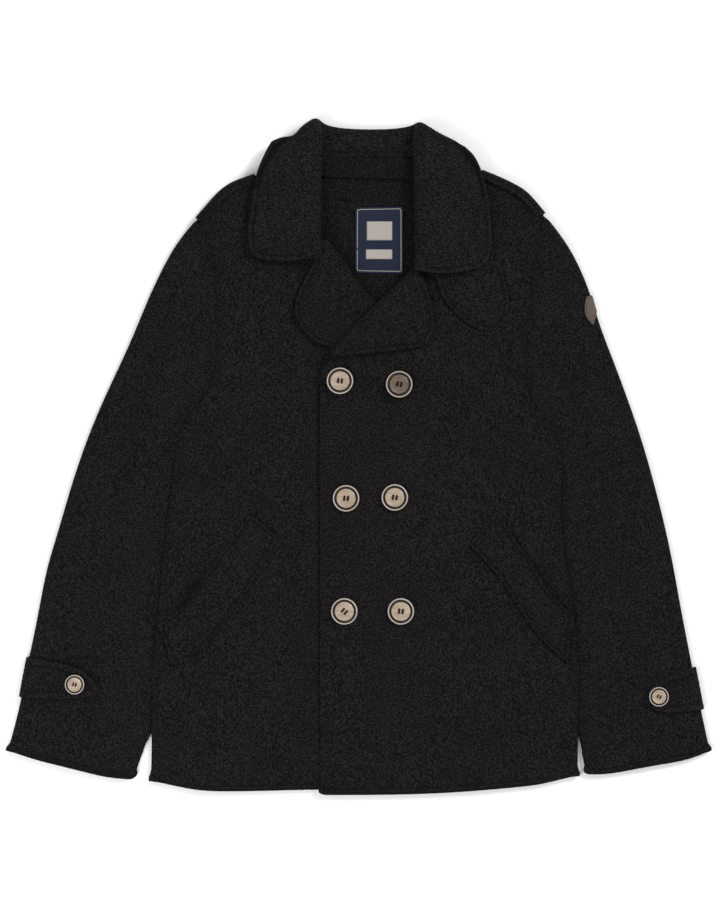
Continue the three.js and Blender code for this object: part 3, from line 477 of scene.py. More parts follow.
def felt_group() -> bpy.types.NodeTree:
    """Felted wool knit: fine ribs and flecks of lighter fibre, with painted highlight on stitched rims and the hem
    bead, painted shade in stitch grooves, beside the hem bead, in troughs and along seams, and dark brown on the
    outer 2 to 4 mm of raw edges.

    Returns:
        The node group.
    """
    tree = new_group(
        "felted_wool",
        (
            GroupPort("Vector", "Vector"),
            GroupPort("Cloth", "Color"),
            GroupPort("Fleck", "Color"),
            GroupPort("Heather", "Color"),
            GroupPort("Rib Width", "Float", 0.0026),
            GroupPort("Rib Depth", "Float", 0.5),
            GroupPort("Row Distance", "Float", 99.0),
            GroupPort("Edge Distance", "Float", 99.0),
            GroupPort("Hollow", "Float", 0.0),
        ),
        (GroupPort("Color", "Color"), GroupPort("Roughness", "Float"), GroupPort("Height", "Float")),
    )
    make = NodeMaker(tree)
    given, result = make.add("NodeGroupInput"), make.add("NodeGroupOutput")
    vector = given.outputs["Vector"]
    sway = make.noise(vector, 34.0, 2.0)
    parts = make.add("SeparateXYZ")
    make.put(parts.inputs[0], vector)
    shift = make.math("MULTIPLY", make.math("SUBTRACT", sway, 0.5), 0.006)
    turns = make.math("MULTIPLY", make.math("ADD", parts.outputs[0], shift), math.tau)
    wave = make.math("SINE", make.math("DIVIDE", turns, given.outputs["Rib Width"]))
    rib = make.math("MULTIPLY_ADD", wave, 0.5, 0.5)
    fibre = make.noise(make.stretch(vector, (820.0, 290.0, 400.0)), 1.0, 2.0)
    grit = make.noise(make.stretch(vector, (600.0, 480.0, 600.0)), 1.0, 2.0)
    cloud = make.noise(vector, 24.0, 3.0)
    rib_share = make.math("MULTIPLY", rib, given.outputs["Rib Depth"])
    signed = given.outputs["Row Distance"]
    # Painted highlight: lighter cloth along the outer edge of each stitched piece, ending 2 mm short of its stitch
    # row, and 3 to 5 mm in from raw edges, along the hem bead.
    rim = make.math("SUBTRACT", make.between(signed, -14.0, -12.0), make.between(signed, -4.0, -2.0))
    ridge = make.math("ABSOLUTE", make.math("SUBTRACT", given.outputs["Edge Distance"], 4.1))
    ridge = make.math("SUBTRACT", 1.0, make.between(ridge, 0.2, 1.1))
    painted_shading = make.math("MULTIPLY_ADD", rim, 0.1, make.math("MULTIPLY", ridge, 0.24))
    light = make.math("MULTIPLY", rib_share, 0.24)
    light = make.math("MULTIPLY_ADD", make.between(fibre, 0.43, 0.6), 0.3, light)
    light = make.math("MULTIPLY_ADD", make.between(grit, 0.46, 0.6), 0.74, light)
    light = make.math("ADD", light, painted_shading)
    light = make.math("MULTIPLY", light, make.math("MULTIPLY_ADD", cloud, 0.5, 0.75), clamp=True)
    heather = make.between(make.noise(make.stretch(vector, (130.0, 90.0, 130.0)), 1.0, 2.0), 0.4, 0.6)
    warm = make.mix(heather, given.outputs["Fleck"], given.outputs["Heather"])
    color = make.mix(light, given.outputs["Cloth"], warm)
    hair = make.between(make.noise(make.stretch(vector, (950.0, 620.0, 900.0)), 1.0, 1.0), 0.7, 0.78)
    color = make.mix(make.math("MULTIPLY", hair, 0.7), color, (0.047, 0.042, 0.0415, 1.0))
    # Painted shade: darker cloth in the stitch groove; the same mask also sinks the groove in the height below.
    channel = make.math("SUBTRACT", 1.0, make.between(make.math("ABSOLUTE", signed), 0.2, 1.5))
    edge = make.math("SUBTRACT", 1.0, make.between(given.outputs["Edge Distance"], 2.2, 3.6))
    color = make.mix(make.math("MULTIPLY", edge, 0.62), color, (0.0062, 0.005, 0.0034, 1.0))
    # Painted shade: darker cloth about 5 to 8 mm in from raw edges, in the dip above the hem bead.
    fold = make.math("ABSOLUTE", make.math("SUBTRACT", given.outputs["Edge Distance"], 6.2))
    fold = make.math("SUBTRACT", 1.0, make.between(fold, 0.3, 1.6))
    shade = make.math("MULTIPLY_ADD", fold, 0.3, make.math("MULTIPLY", channel, 0.48))
    # Painted shade from the troughs and side seams of the cloth piece.
    shade = make.math("MULTIPLY_ADD", given.outputs["Hollow"], 0.62, shade, clamp=True)
    make.put(result.inputs["Color"], make.mix(shade, color, (0.0024, 0.0019, 0.0015, 1.0)))
    make.put(result.inputs["Roughness"], make.math("MULTIPLY_ADD", grit, 0.12, 0.86))
    nap = make.math("MULTIPLY_ADD", fibre, 0.45, make.math("MULTIPLY", grit, 0.8))
    relief = make.math("MULTIPLY_ADD", rib_share, 0.35, nap)
    make.put(result.inputs["Height"], make.math("SUBTRACT", relief, make.math("MULTIPLY", channel, 1.5)))
    return tree


def weave_group() -> bpy.types.NodeTree:
    """Plain or twill weave of fine threads, for the label and its patches.

    Returns:
        The node group.
    """
    tree = new_group(
        "fine_weave",
        (
            GroupPort("Vector", "Vector"),
            GroupPort("Warp", "Color"),
            GroupPort("Weft", "Color"),
            GroupPort("Thread", "Float", 0.0005),
        ),
        (GroupPort("Color", "Color"), GroupPort("Height", "Float")),
    )
    make = NodeMaker(tree)
    given, result = make.add("NodeGroupInput"), make.add("NodeGroupOutput")
    parts = make.add("SeparateXYZ")
    make.put(parts.inputs[0], given.outputs["Vector"])
    turn = make.math("DIVIDE", math.pi, given.outputs["Thread"])
    across = make.math("SINE", make.math("MULTIPLY", parts.outputs[0], turn))
    along = make.math("SINE", make.math("MULTIPLY", parts.outputs[1], turn))
    cross = make.math("MULTIPLY_ADD", make.math("MULTIPLY", across, along), 0.5, 0.5)
    slub = make.noise(make.stretch(given.outputs["Vector"], (300.0, 1400.0, 300.0)), 1.0, 2.0)
    blend = make.math("MULTIPLY_ADD", cross, 0.6, make.math("MULTIPLY", slub, 0.4), clamp=True)
    make.put(result.inputs["Color"], make.mix(blend, given.outputs["Warp"], given.outputs["Weft"]))
    make.put(result.inputs["Height"], blend)
    return tree


Color = tuple[float, float, float, float]


def grey(level: float, warmth: float = 0.0) -> Color:
    """Returns a grey of one level, warmer above zero and cooler below."""
    return (level * (1 + warmth), level, level * (1 - warmth), 1.0)


class Finishes:
    """The coat's finishes, each made once."""

    felt: ClassVar[bpy.types.NodeTree] = felt_group()
    weave: ClassVar[bpy.types.NodeTree] = weave_group()
    made: ClassVar[dict[str, bpy.types.Material]] = {}

    @classmethod
    def once(cls, name: str, build: Callable[[NodeMaker, bpy.types.Node], None]) -> bpy.types.Material:
        """Makes a material the first time it is asked for.

        Args:
            name: Name of the material.
            build: Adds its nodes, given the maker and the Principled shader.

        Returns:
            The material.
        """
        if name not in cls.made:
            material = bpy.data.materials.new(name)
            material.use_nodes = True
            make = NodeMaker(material.node_tree)
            shader, end = make.add("BsdfPrincipled"), make.add("OutputMaterial")
            make.put(end.inputs["Surface"], shader.outputs["BSDF"])
            build(make, shader)
            cls.made[name] = material
        return cls.made[name]


@dataclass(frozen=True)
class WoolFinish:
    """Felted wool of one shade.

    Attributes:
        name: Name of the shade.
        slot: Slot of the record that it belongs to; not used.
        cloth: Ground colour.
        fleck: Colour of the lighter fibres.
        heather: Colour of the fibres mixed among them.
        rib_width: Distance between ribs, in metres.
        rib_depth: Strength of the ribs, from 0 to 1.
    """

    name: str
    slot: str
    cloth: Color
    fleck: Color
    heather: Color
    rib_width: float = 0.0026
    rib_depth: float = 0.6

    def material(self, grain: Grain) -> bpy.types.Material:
        """Returns the wool with its ribs turned to a grain."""

        def build(make: NodeMaker, shader: bpy.types.Node) -> None:
            """Joins the nodes of the wool."""
            place = make.add("TexCoord")
            turned = make.add("Mapping")
            make.put(turned.inputs["Vector"], place.outputs["Object"])
            turned.inputs["Rotation"].default_value = (0.0, 0.0, math.radians(grain.value))
            group = make.add("Group", node_tree=Finishes.felt)
            make.put(group.inputs["Vector"], turned.outputs["Vector"])
            group.inputs["Cloth"].default_value = self.cloth
            group.inputs["Fleck"].default_value = self.fleck
            group.inputs["Heather"].default_value = self.heather
            group.inputs["Rib Width"].default_value = self.rib_width
            group.inputs["Rib Depth"].default_value = self.rib_depth
            for name, attribute in (("Row Distance", "row_mm"), ("Edge Distance", "edge_mm"),
                                    ("Hollow", "hollow")):
                reader = make.add("Attribute", attribute_name=attribute)
                make.put(group.inputs[name], reader.outputs["Fac"])
            bump = make.add("Bump")
            bump.inputs["Strength"].default_value = 0.75
            bump.inputs["Distance"].default_value = 0.0012
            make.put(bump.inputs["Height"], group.outputs["Height"])
            make.put(shader.inputs["Base Color"], group.outputs["Color"])
            make.put(shader.inputs["Roughness"], group.outputs["Roughness"])
            make.put(shader.inputs["Normal"], bump.outputs["Normal"])
            shader.inputs["Specular IOR Level"].default_value = 0.077
            shader.inputs["Sheen Weight"].default_value = 0.023
            shader.inputs["Sheen Roughness"].default_value = 0.45
            shader.inputs["Sheen Tint"].default_value = (0.5, 0.48, 0.47, 1.0)

        return Finishes.once(f"{self.name}_{grain.name.lower()}", build)


@dataclass(frozen=True)
class WeaveFinish:
    """A fine woven cloth of two threads.

    Attributes:
        name: Name of the cloth.
        slot: Slot of the record that it belongs to; not used.
        warp: Colour of the threads along it.
        weft: Colour of the threads across it.
        thread: Width of a thread, in metres.
        roughness: Roughness of the surface.
    """

    name: str
    slot: str
    warp: Color
    weft: Color
    thread: float = 0.00045
    roughness: float = 0.8

    def material(self) -> bpy.types.Material:
        """Returns the woven cloth."""

        def build(make: NodeMaker, shader: bpy.types.Node) -> None:
            """Joins the nodes of the woven cloth."""
            place = make.add("TexCoord")
            group = make.add("Group", node_tree=Finishes.weave)
            make.put(group.inputs["Vector"], place.outputs["Object"])
            group.inputs["Warp"].default_value = self.warp
            group.inputs["Weft"].default_value = self.weft
            group.inputs["Thread"].default_value = self.thread
            bump = make.add("Bump")
            bump.inputs["Strength"].default_value = 0.4
            bump.inputs["Distance"].default_value = 0.0003
            make.put(bump.inputs["Height"], group.outputs["Height"])
            make.put(shader.inputs["Base Color"], group.outputs["Color"])
            make.put(shader.inputs["Normal"], bump.outputs["Normal"])
            shader.inputs["Roughness"].default_value = self.roughness
            shader.inputs["Specular IOR Level"].default_value = 0.2
            shader.inputs["Sheen Weight"].default_value = 0.02

        return Finishes.once(self.name, build)


@dataclass(frozen=True)
class HornFinish:
    """Polished horn or nut of one shade, with streaks, and painted shade in its groove and thread holes.

    Attributes:
        name: Name of the shade.
        slot: Slot of the record that it belongs to; not used.
        light: Colour of the pale streaks.
        dark: Colour of the dark streaks.
        rim: Colour of the outer ring, paler from wear.
    """

    name: str
    slot: str
    light: Color
    dark: Color
    rim: Color = (0.4, 0.36, 0.32, 1.0)

    def material(self) -> bpy.types.Material:
        """Returns the horn."""

        def build(make: NodeMaker, shader: bpy.types.Node) -> None:
            """Joins the nodes of the horn."""
            place = make.add("TexCoord")
            vector = place.outputs["Object"]
            streak = make.noise(make.stretch(vector, (95.0, 420.0, 95.0)), 1.0, 4.0)
            pits = make.noise(vector, 1500.0, 2.0)
            painted_shading = make.add("Attribute", attribute_name="groove")
            rim = make.add("Attribute", attribute_name="rim")
            color = make.mix(make.between(streak, 0.25, 0.78), self.dark, self.light)
            pitted = make.math("MULTIPLY", make.between(pits, 0.52, 0.75), 0.25)
            color = make.mix(pitted, color, self.dark)
            color = make.mix(rim.outputs["Fac"], color, self.rim)
            # Painted shade: the groove and the insides of the thread holes are mixed to a near-black brown.
            color = make.mix(painted_shading.outputs["Fac"], color, (0.012, 0.0075, 0.005, 1.0))
            bump = make.add("Bump")
            bump.inputs["Strength"].default_value = 0.25
            bump.inputs["Distance"].default_value = 0.0002
            make.put(bump.inputs["Height"], make.math("ADD", streak, pits))
            make.put(shader.inputs["Base Color"], color)
            make.put(shader.inputs["Roughness"], make.math("MULTIPLY_ADD", pits, 0.25, 0.3))
            make.put(shader.inputs["Normal"], bump.outputs["Normal"])
            shader.inputs["Subsurface Weight"].default_value = 0.06
            shader.inputs["Subsurface Radius"].default_value = (0.002, 0.0012, 0.0008)
            shader.inputs["Coat Weight"].default_value = 0.15

        return Finishes.once(self.name, build)


@dataclass(frozen=True)
class ThreadFinish:
    """Sewing thread of one colour, with its twist.

    Attributes:
        name: Name of the thread.
        slot: Slot of the record that it belongs to; not used.
        color: Its colour.
    """

    name: str
    slot: str
    color: Color

    def material(self) -> bpy.types.Material:
        """Returns the thread."""

        def build(make: NodeMaker, shader: bpy.types.Node) -> None:
            """Joins the nodes of the thread."""
            place = make.add("TexCoord")
            twist = make.add("TexWave", wave_type="BANDS", bands_direction="DIAGONAL")
            make.put(twist.inputs["Vector"], place.outputs["Object"])
            twist.inputs["Scale"].default_value = 900.0
            darker = tuple(0.55 * value for value in self.color[:3]) + (1.0,)
            make.put(shader.inputs["Base Color"], make.mix(twist.outputs["Fac"], darker, self.color))
            rough = make.math("MULTIPLY_ADD", twist.outputs["Fac"], 0.2, 0.7)
            make.put(shader.inputs["Roughness"], rough)
            shader.inputs["Specular IOR Level"].default_value = 0.15

        return Finishes.once(self.name, build)


CHARCOAL = WoolFinish("wool_charcoal", "wool_charcoal", (0.00069, 0.00062, 0.00065, 1.0),
                      (0.0158, 0.0136, 0.0151, 1.0), (0.0136, 0.0126, 0.0132, 1.0))
COLLAR_WOOL = WoolFinish("wool_collar", "wool_collar", (0.00077, 0.00069, 0.00065, 1.0),
                         (0.0171, 0.0151, 0.0148, 1.0), (0.0151, 0.014, 0.0132, 1.0))
INSIDE_WOOL = WoolFinish("wool_inside", "wool_charcoal", (0.00062, 0.00054, 0.00062, 1.0),
                         (0.0137, 0.0119, 0.0132, 1.0), (0.012, 0.0111, 0.0117, 1.0))
NAVY_WEAVE = WeaveFinish("label_navy", "label_navy", (0.0042, 0.0075, 0.02, 1.0),
                         (0.013, 0.0195, 0.042, 1.0))
CREAM_WEAVE = WeaveFinish("label_cream", "label_navy", (0.3042, 0.2772, 0.2464, 1.0),
                          (0.3889, 0.3619, 0.3272, 1.0))
TAUPE = WeaveFinish("badge_taupe", "badge_taupe", (0.0647, 0.0493, 0.0385, 1.0),
                    (0.1247, 0.0947, 0.0755, 1.0))
PALE_HORN = HornFinish("horn_pale", "horn_pale", (0.4081, 0.3234, 0.2426, 1.0),
                       (0.2772, 0.2041, 0.1424, 1.0))
BROWN_HORN = HornFinish("horn_brown", "horn_brown", (0.154, 0.104, 0.0693, 1.0),
                        (0.0693, 0.0431, 0.0277, 1.0))
DARK_THREAD = ThreadFinish("thread_dark", "wool_charcoal", grey(0.005, 0.03))
BLACK_THREAD = ThreadFinish("thread_black", "wool_charcoal", grey(0.0035))
LOOSE_FIBRE = ThreadFinish("wool_fibre", "wool_charcoal", (0.0231, 0.0193, 0.0169, 1.0))
LIGHT_THREAD = ThreadFinish("thread_light", "label_navy", (0.4312, 0.4235, 0.4004, 1.0))


# Meshes


def link_object(name: str, mesh: bpy.types.Mesh) -> bpy.types.Object:
    """Puts a mesh in the scene as the only selected, active object."""
    piece = bpy.data.objects.new(name, mesh)
    bpy.context.scene.collection.objects.link(piece)
    choose(piece)
    return piece


def choose(*pieces: bpy.types.Object) -> None:
    """Selects only these objects and makes the first one active."""
    bpy.ops.object.select_all(action="DESELECT")
    for piece in pieces:
        piece.select_set(True)
    bpy.context.view_layer.objects.active = pieces[0]


def mesh_points(mesh: bpy.types.Mesh) -> np.ndarray:
    """Returns the mesh's points in millimetres, a row each."""
    flat = np.zeros(len(mesh.vertices) * 3, np.float32)
    mesh.vertices.foreach_get("co", flat)
    return flat.reshape(-1, 3).astype(float) / MM


def set_points(mesh: bpy.types.Mesh, points: np.ndarray) -> None:
    """Moves the mesh's points to these, given in millimetres."""
    mesh.vertices.foreach_set("co", (points * MM).astype(np.float32).ravel())
    mesh.update()


def set_attribute(mesh: bpy.types.Mesh, name: str, values: np.ndarray) -> None:
    """Stores one number for each point of the mesh under a name."""
    layer = mesh.attributes.new(name, "FLOAT", "POINT")
    layer.data.foreach_set("value", values.astype(np.float32))


def finish_piece(piece: bpy.types.Object, material: bpy.types.Material) -> bpy.types.Object:
    """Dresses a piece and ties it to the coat's one body.

    Args:
        piece: The piece.
        material: Its material.

    Returns:
        The same piece.
    """
    piece.data.materials.clear()
    piece.data.materials.append(material)
    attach(piece, "root")
    LOG.info("%s: %d faces, %s", piece.name, len(piece.data.polygons), material.name)
    return piece


@dataclass
class ClothPiece:
    """One cut piece: a finer wall on the form of its solid, with creases, seams and raw edges.

    Attributes:
        node: The solid that it stands for.
        finish: Its wool.
        grain: Direction of the ribs.
        cut: Width and length of the flat cut, in metres; not used.
        held: How the cloth is held; not used.
        lies_on: What it lies on; not used.
        levels: How often each face is split in four.
        rolled: Plan lines along which the edge is left raw and rolls up a little.
        stitched: Distance of the stitch row from the edge, or None.
        unstitched: Plan lines near which there is no stitch row.
        clear: How far from those lines the row keeps.
        hem_row: Distance of a stitch row from the raw edge, or None.
        nudges: Shifts of this piece alone.
    """

    node: str
    finish: WoolFinish
    grain: Grain
    cut: tuple[float, float]
    held: Held = Held.LAID
    lies_on: tuple[str, ...] = ()
    levels: int = 2
    rolled: tuple[PlanLine, ...] = ()
    stitched: float | None = None
    unstitched: tuple[PlanLine, ...] = ()
    clear: float = 14.0
    hem_row: float | None = None
    nudges: tuple[Nudge, ...] = ()
    piece: bpy.types.Object | None = field(default=None, init=False)

    SHARP: ClassVar[float] = math.radians(48)
    ROLL_CUTS: ClassVar[tuple[float, ...]] = (8.0, 4.5, 2.0)
    FAR: ClassVar[float] = 99.0
    BEAD: ClassVar[float] = 1.7
    DIP: ClassVar[float] = 0.9
    FLARE: ClassVar[float] = 2.6

    def build(self) -> bpy.types.Object:
        """Builds, creases and dresses the piece.

        Returns:
            The finished object.
        """
        self.piece = link_object(f"{self.node}_cloth", frame["nodes"][self.node].data.copy())
        self.piece.parent = None
        self._quads()
        starts, ends = self._sharp_edges()
        self._refine()
        mesh = self.piece.data
        points = mesh_points(mesh)
        edge = distance_to_lines(points, starts, ends)
        self._store(points, edge)
        points = self._roll(points)
        for change in (*SEAMS, *NUDGES, *self.nudges):
            points = change.draw(points)
        points[:, 2] += DRAPE.lift(points)
        points[:, 2] = np.maximum(points[:, 2], 0.0)
        set_points(mesh, points)
        mesh.shade_smooth()
        finish_piece(self.piece, self.finish.material(self.grain))
        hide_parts(self.node)
        return self.piece

    def _quads(self) -> None:
        """Merges the copied triangles and joins them in pairs."""
        bpy.ops.mesh.customdata_custom_splitnormals_clear()
        bpy.ops.object.mode_set(mode="EDIT")
        bpy.ops.mesh.select_all(action="SELECT")
        bpy.ops.mesh.remove_doubles(threshold=0.02 * MM)
        bpy.ops.mesh.tris_convert_to_quads(face_threshold=0.9, shape_threshold=1.4)
        bpy.ops.object.mode_set(mode="OBJECT")

    def _sharp_edges(self) -> tuple[np.ndarray, np.ndarray]:
        """Cuts rows beside the raw edges and marks the wall's edges so that they stay crisp.

        Returns:
            Starts and ends of the wall's edges, in millimetres.
        """
        work = bmesh.new()
        work.from_mesh(self.piece.data)
        for distance in self.ROLL_CUTS if self.rolled else ():
            self._cut_beside(work, distance * MM)
        crisp = work.edges.layers.float.new("crease_edge")
        starts, ends = [], []
        for edge in work.edges:
            if edge.calc_face_angle(0.0) > self.SHARP:
                edge[crisp] = 0.8
                starts.append(edge.verts[0].co / MM)
                ends.append(edge.verts[1].co / MM)
        work.to_mesh(self.piece.data)
        work.free()
        return np.array(starts), np.array(ends)

    def _cut_beside(self, work: bmesh.types.BMesh, distance: float) -> None:
        """Cuts one row across the cloth beside the raw edges.

        Args:
            work: The mesh.
            distance: Distance of the row from the edge, in metres.
        """
        points = np.array([vertex.co / MM for vertex in work.verts])
        away = self._raw_distance(points)
        rim = {vertex for vertex, gap in zip(work.verts, away) if gap < 2.2}
        crossing = [edge for edge in work.edges if len(rim & set(edge.verts)) == 1
                    and edge.calc_length() > 1.6 * distance]
        made = bmesh.ops.subdivide_edges(work, edges=crossing, cuts=1, use_grid_fill=False)
        for vertex in made["geom_inner"]:
            if not isinstance(vertex, bmesh.types.BMVert):
                continue
            ends = [edge.other_vert(vertex) for edge in vertex.link_edges]
            near = [end for end in ends if end in rim]
            if near:
                far = max(ends, key=lambda end: (end.co - near[0].co).length)
                vertex.co = near[0].co + (far.co - near[0].co).normalized() * distance

    def _raw_distance(self, points: np.ndarray) -> np.ndarray:
        """Returns the plan distance of each point from the raw edges."""
        best = np.full(len(points), self.FAR)
        for line in self.rolled:
            row = np.array(line)
            best = np.minimum(best, distance_to_lines(points[:, :2], row[:-1], row[1:]))
        return best

    def _refine(self) -> None:
        """Splits the faces and applies the result."""
        modifier = self.piece.modifiers.new("finer", "SUBSURF")
        modifier.levels = self.levels
        modifier.render_levels = self.levels
        choose(self.piece)
        bpy.ops.object.modifier_apply(modifier=modifier.name)

    def _store(self, points: np.ndarray, edge: np.ndarray) -> None:
        """Stores how far each point is from the stitch row and from the wall's edge."""
        away = self._raw_distance(points)
        for name, base, distance in (("row_mm", edge, self.stitched), ("hem_mm", away, self.hem_row)):
            row = np.full(len(points), self.FAR) if distance is None else base - distance
            for line in self.unstitched:
                near = away_from_line(points[:, :2], line) < self.clear
                row[near] = np.where(row[near] < 0, -self.FAR, self.FAR)
            set_attribute(self.piece.data, name, row)
        set_attribute(self.piece.data, "edge_mm", away)
        # Stores the painted shade of troughs and seams.
        set_attribute(self.piece.data, "hollow", DRAPE.hollow(points))

    def _roll(self, points: np.ndarray) -> np.ndarray:
        """Rolls the raw edges up unevenly and lets their corners flare.

        Args:
            points: The piece's points in millimetres.

        Returns:
            The moved points.
        """
        if not self.rolled:
            return points
        moved = points.copy()
        away = self._raw_distance(points)
        uneven = 1.0 + 0.4 * soft_noise(points[:, 0] + 700, points[:, 1] + 700, 15.0, 11)
        bead = self.BEAD * np.exp(-(((away - 2.0) / 1.9) ** 2))
        dip = -self.DIP * np.exp(-(((away - 5.6) / 1.7) ** 2))
        moved[:, 2] += (bead + dip) * uneven * smooth_step(2.0, 6.0, points[:, 2])
        for line in self.rolled:
            for corner, before in ((line[0], line[1]), (line[-1], line[-2])):
                gap = np.linalg.norm(points[:, :2] - np.array(corner), axis=1)
                share = math.copysign(self.FLARE, corner[0] - before[0])
                moved[:, 0] += share * (1.0 - smooth_step(2.0, 9.0, gap))
        return moved


class StitchRow:
    """Rows of small stitches laid along the stitch distance of a cloth piece."""

    LOST: ClassVar[float] = 40.0
    SIDES: ClassVar[int] = 6
    RINGS: ClassVar[tuple[tuple[float, float, float], ...]] = (
        (0.0, 0.35, -1.0), (0.2, 0.85, 0.2), (0.5, 1.0, 0.75), (0.8, 0.85, 0.2), (1.0, 0.35, -1.0))

    def __init__(self, length: float = 3.1, pitch: float = 4.2, width: float = 0.38,
                 sunk: float = 0.2) -> None:
        """Sets the size of a stitch, in millimetres."""
        self.length = length
        self.pitch = pitch
        self.width = width
        self.sunk = sunk
        self.verts: list[tuple[float, float, float]] = []
        self.faces: list[tuple[int, ...]] = []

    def follow(self, piece: bpy.types.Object, stored: str = "row_mm", level: float = 0.0,
               upright: float = 0.25) -> None:
        """Lays stitches where one of the piece's stored row distances passes a level.

        Args:
            piece: The cloth piece.
            stored: Name of the stored distance.
            level: Value of it that the row follows, in millimetres.
            upright: Least upward part of the normal that counts as the cloth's face.
        """
        mesh = piece.data
        points = mesh_points(mesh)
        values = np.zeros(len(points), np.float32)
        mesh.attributes[stored].data.foreach_get("value", values)
        mesh.calc_loop_triangles()
        triangles = np.zeros(len(mesh.loop_triangles) * 3, np.int32)
        mesh.loop_triangles.foreach_get("vertices", triangles)
        triangles = triangles.reshape(-1, 3)
        side = values[triangles] > level
        far = np.abs(values[triangles] - level).max(1) > self.LOST
        crossed = triangles[(side.any(1)) & (~side.all(1)) & (~far)]
        for chain in self._chains(points, values, crossed, level, upright):
            self._lay(chain)

    def _chains(self, points: np.ndarray, values: np.ndarray, triangles: np.ndarray, level: float,
                upright: float) -> list[list[tuple[np.ndarray, np.ndarray]]]:
        """Links the crossings of neighbouring triangles.

        Returns:
            Rows of places with their normals.
        """
        spots: dict[tuple[int, int], tuple[np.ndarray, np.ndarray]] = {}
        links: dict[tuple[int, int], list[tuple[int, int]]] = {}
        for corners in triangles:
            a, b, c = points[corners]
            normal = np.cross(b - a, c - a)
            normal /= max(np.linalg.norm(normal), 1e-9)
            if normal[2] < upright:
                continue
            ends = []
            for i in range(3):
                p, q = sorted((int(corners[i]), int(corners[(i + 1) % 3])))
                if (values[p] > level) != (values[q] > level):
                    share = (level - values[p]) / (values[q] - values[p])
                    spots[p, q] = (points[p] + share * (points[q] - points[p]), normal)
                    ends.append((p, q))
            if len(ends) == 2:
                links.setdefault(ends[0], []).append(ends[1])
                links.setdefault(ends[1], []).append(ends[0])
        chains, left = [], set(links)
        starts = sorted(key for key, near in links.items() if len(near) == 1) + sorted(links)
        for start in starts:
            if start not in left:
                continue
            chain, here = [], start
            while here is not None:
                left.discard(here)
                chain.append(spots[here])
                here = next((key for key in links[here] if key in left), None)
            chains.append(chain)
        return chains

    def _lay(self, chain: list[tuple[np.ndarray, np.ndarray]]) -> None:
        """Lays stitches at an even pitch along one row."""
        if len(chain) < 3:
            return
        places = np.array([spot for spot, _ in chain])
        normals = np.array([normal for _, normal in chain])
        steps = np.linalg.norm(np.diff(places, axis=0), axis=1)
        along = np.concatenate(([0.0], np.cumsum(steps)))
        for middle in np.arange(self.pitch, along[-1] - self.pitch / 2, self.pitch):
            ends = [np.array([np.interp(middle + half, along, places[:, k]) for k in range(3)])
                    for half in (-self.length / 2, self.length / 2)]
            normal = np.array([np.interp(middle, along, normals[:, k]) for k in range(3)])
            self._stitch(ends[0], ends[1], normal / np.linalg.norm(normal))

    def _stitch(self, start: np.ndarray, end: np.ndarray, normal: np.ndarray) -> None:
        """Adds one stitch: a short thread, thick in the middle and sunk at its ends."""
        along = end - start
        size = np.linalg.norm(along)
        if size < 1e-6:
            return
        along /= size
        across = np.cross(normal, along)
        first = len(self.verts)
        sides = self.SIDES
        for share, girth, rise in self.RINGS:
            middle = start + along * size * share + normal * (self.width * rise * 0.5 - self.sunk)
            for k in range(sides):
                angle = math.tau * k / sides
                offset = math.cos(angle) * across + math.sin(angle) * normal
                self.verts.append(tuple((middle + offset * self.width * girth) * MM))
        last = len(self.RINGS) - 1
        for ring in range(last):
            for k in range(sides):
                a, b = first + ring * sides + k, first + ring * sides + (k + 1) % sides
                self.faces.append((a, b, b + sides, a + sides))
        self.faces.append(tuple(first + k for k in reversed(range(sides))))
        self.faces.append(tuple(first + last * sides + k for k in range(sides)))

    def make(self, name: str, finish: ThreadFinish) -> bpy.types.Object | None:
        """Makes one object of all the stitches laid so far.

        Args:
            name: Name of the object.
            finish: The thread.

        Returns:
            The object, or None where no stitch was laid.
        """
        if not self.faces:
            return None
        mesh = bpy.data.meshes.new(name)
        mesh.from_pydata(self.verts, [], self.faces)
        mesh.validate()
        piece = link_object(name, mesh)
        bpy.ops.object.mode_set(mode="EDIT")
        bpy.ops.mesh.select_all(action="SELECT")
        bpy.ops.mesh.normals_make_consistent(inside=False)
        bpy.ops.object.mode_set(mode="OBJECT")
        mesh.shade_smooth()
        return finish_piece(piece, finish.material())


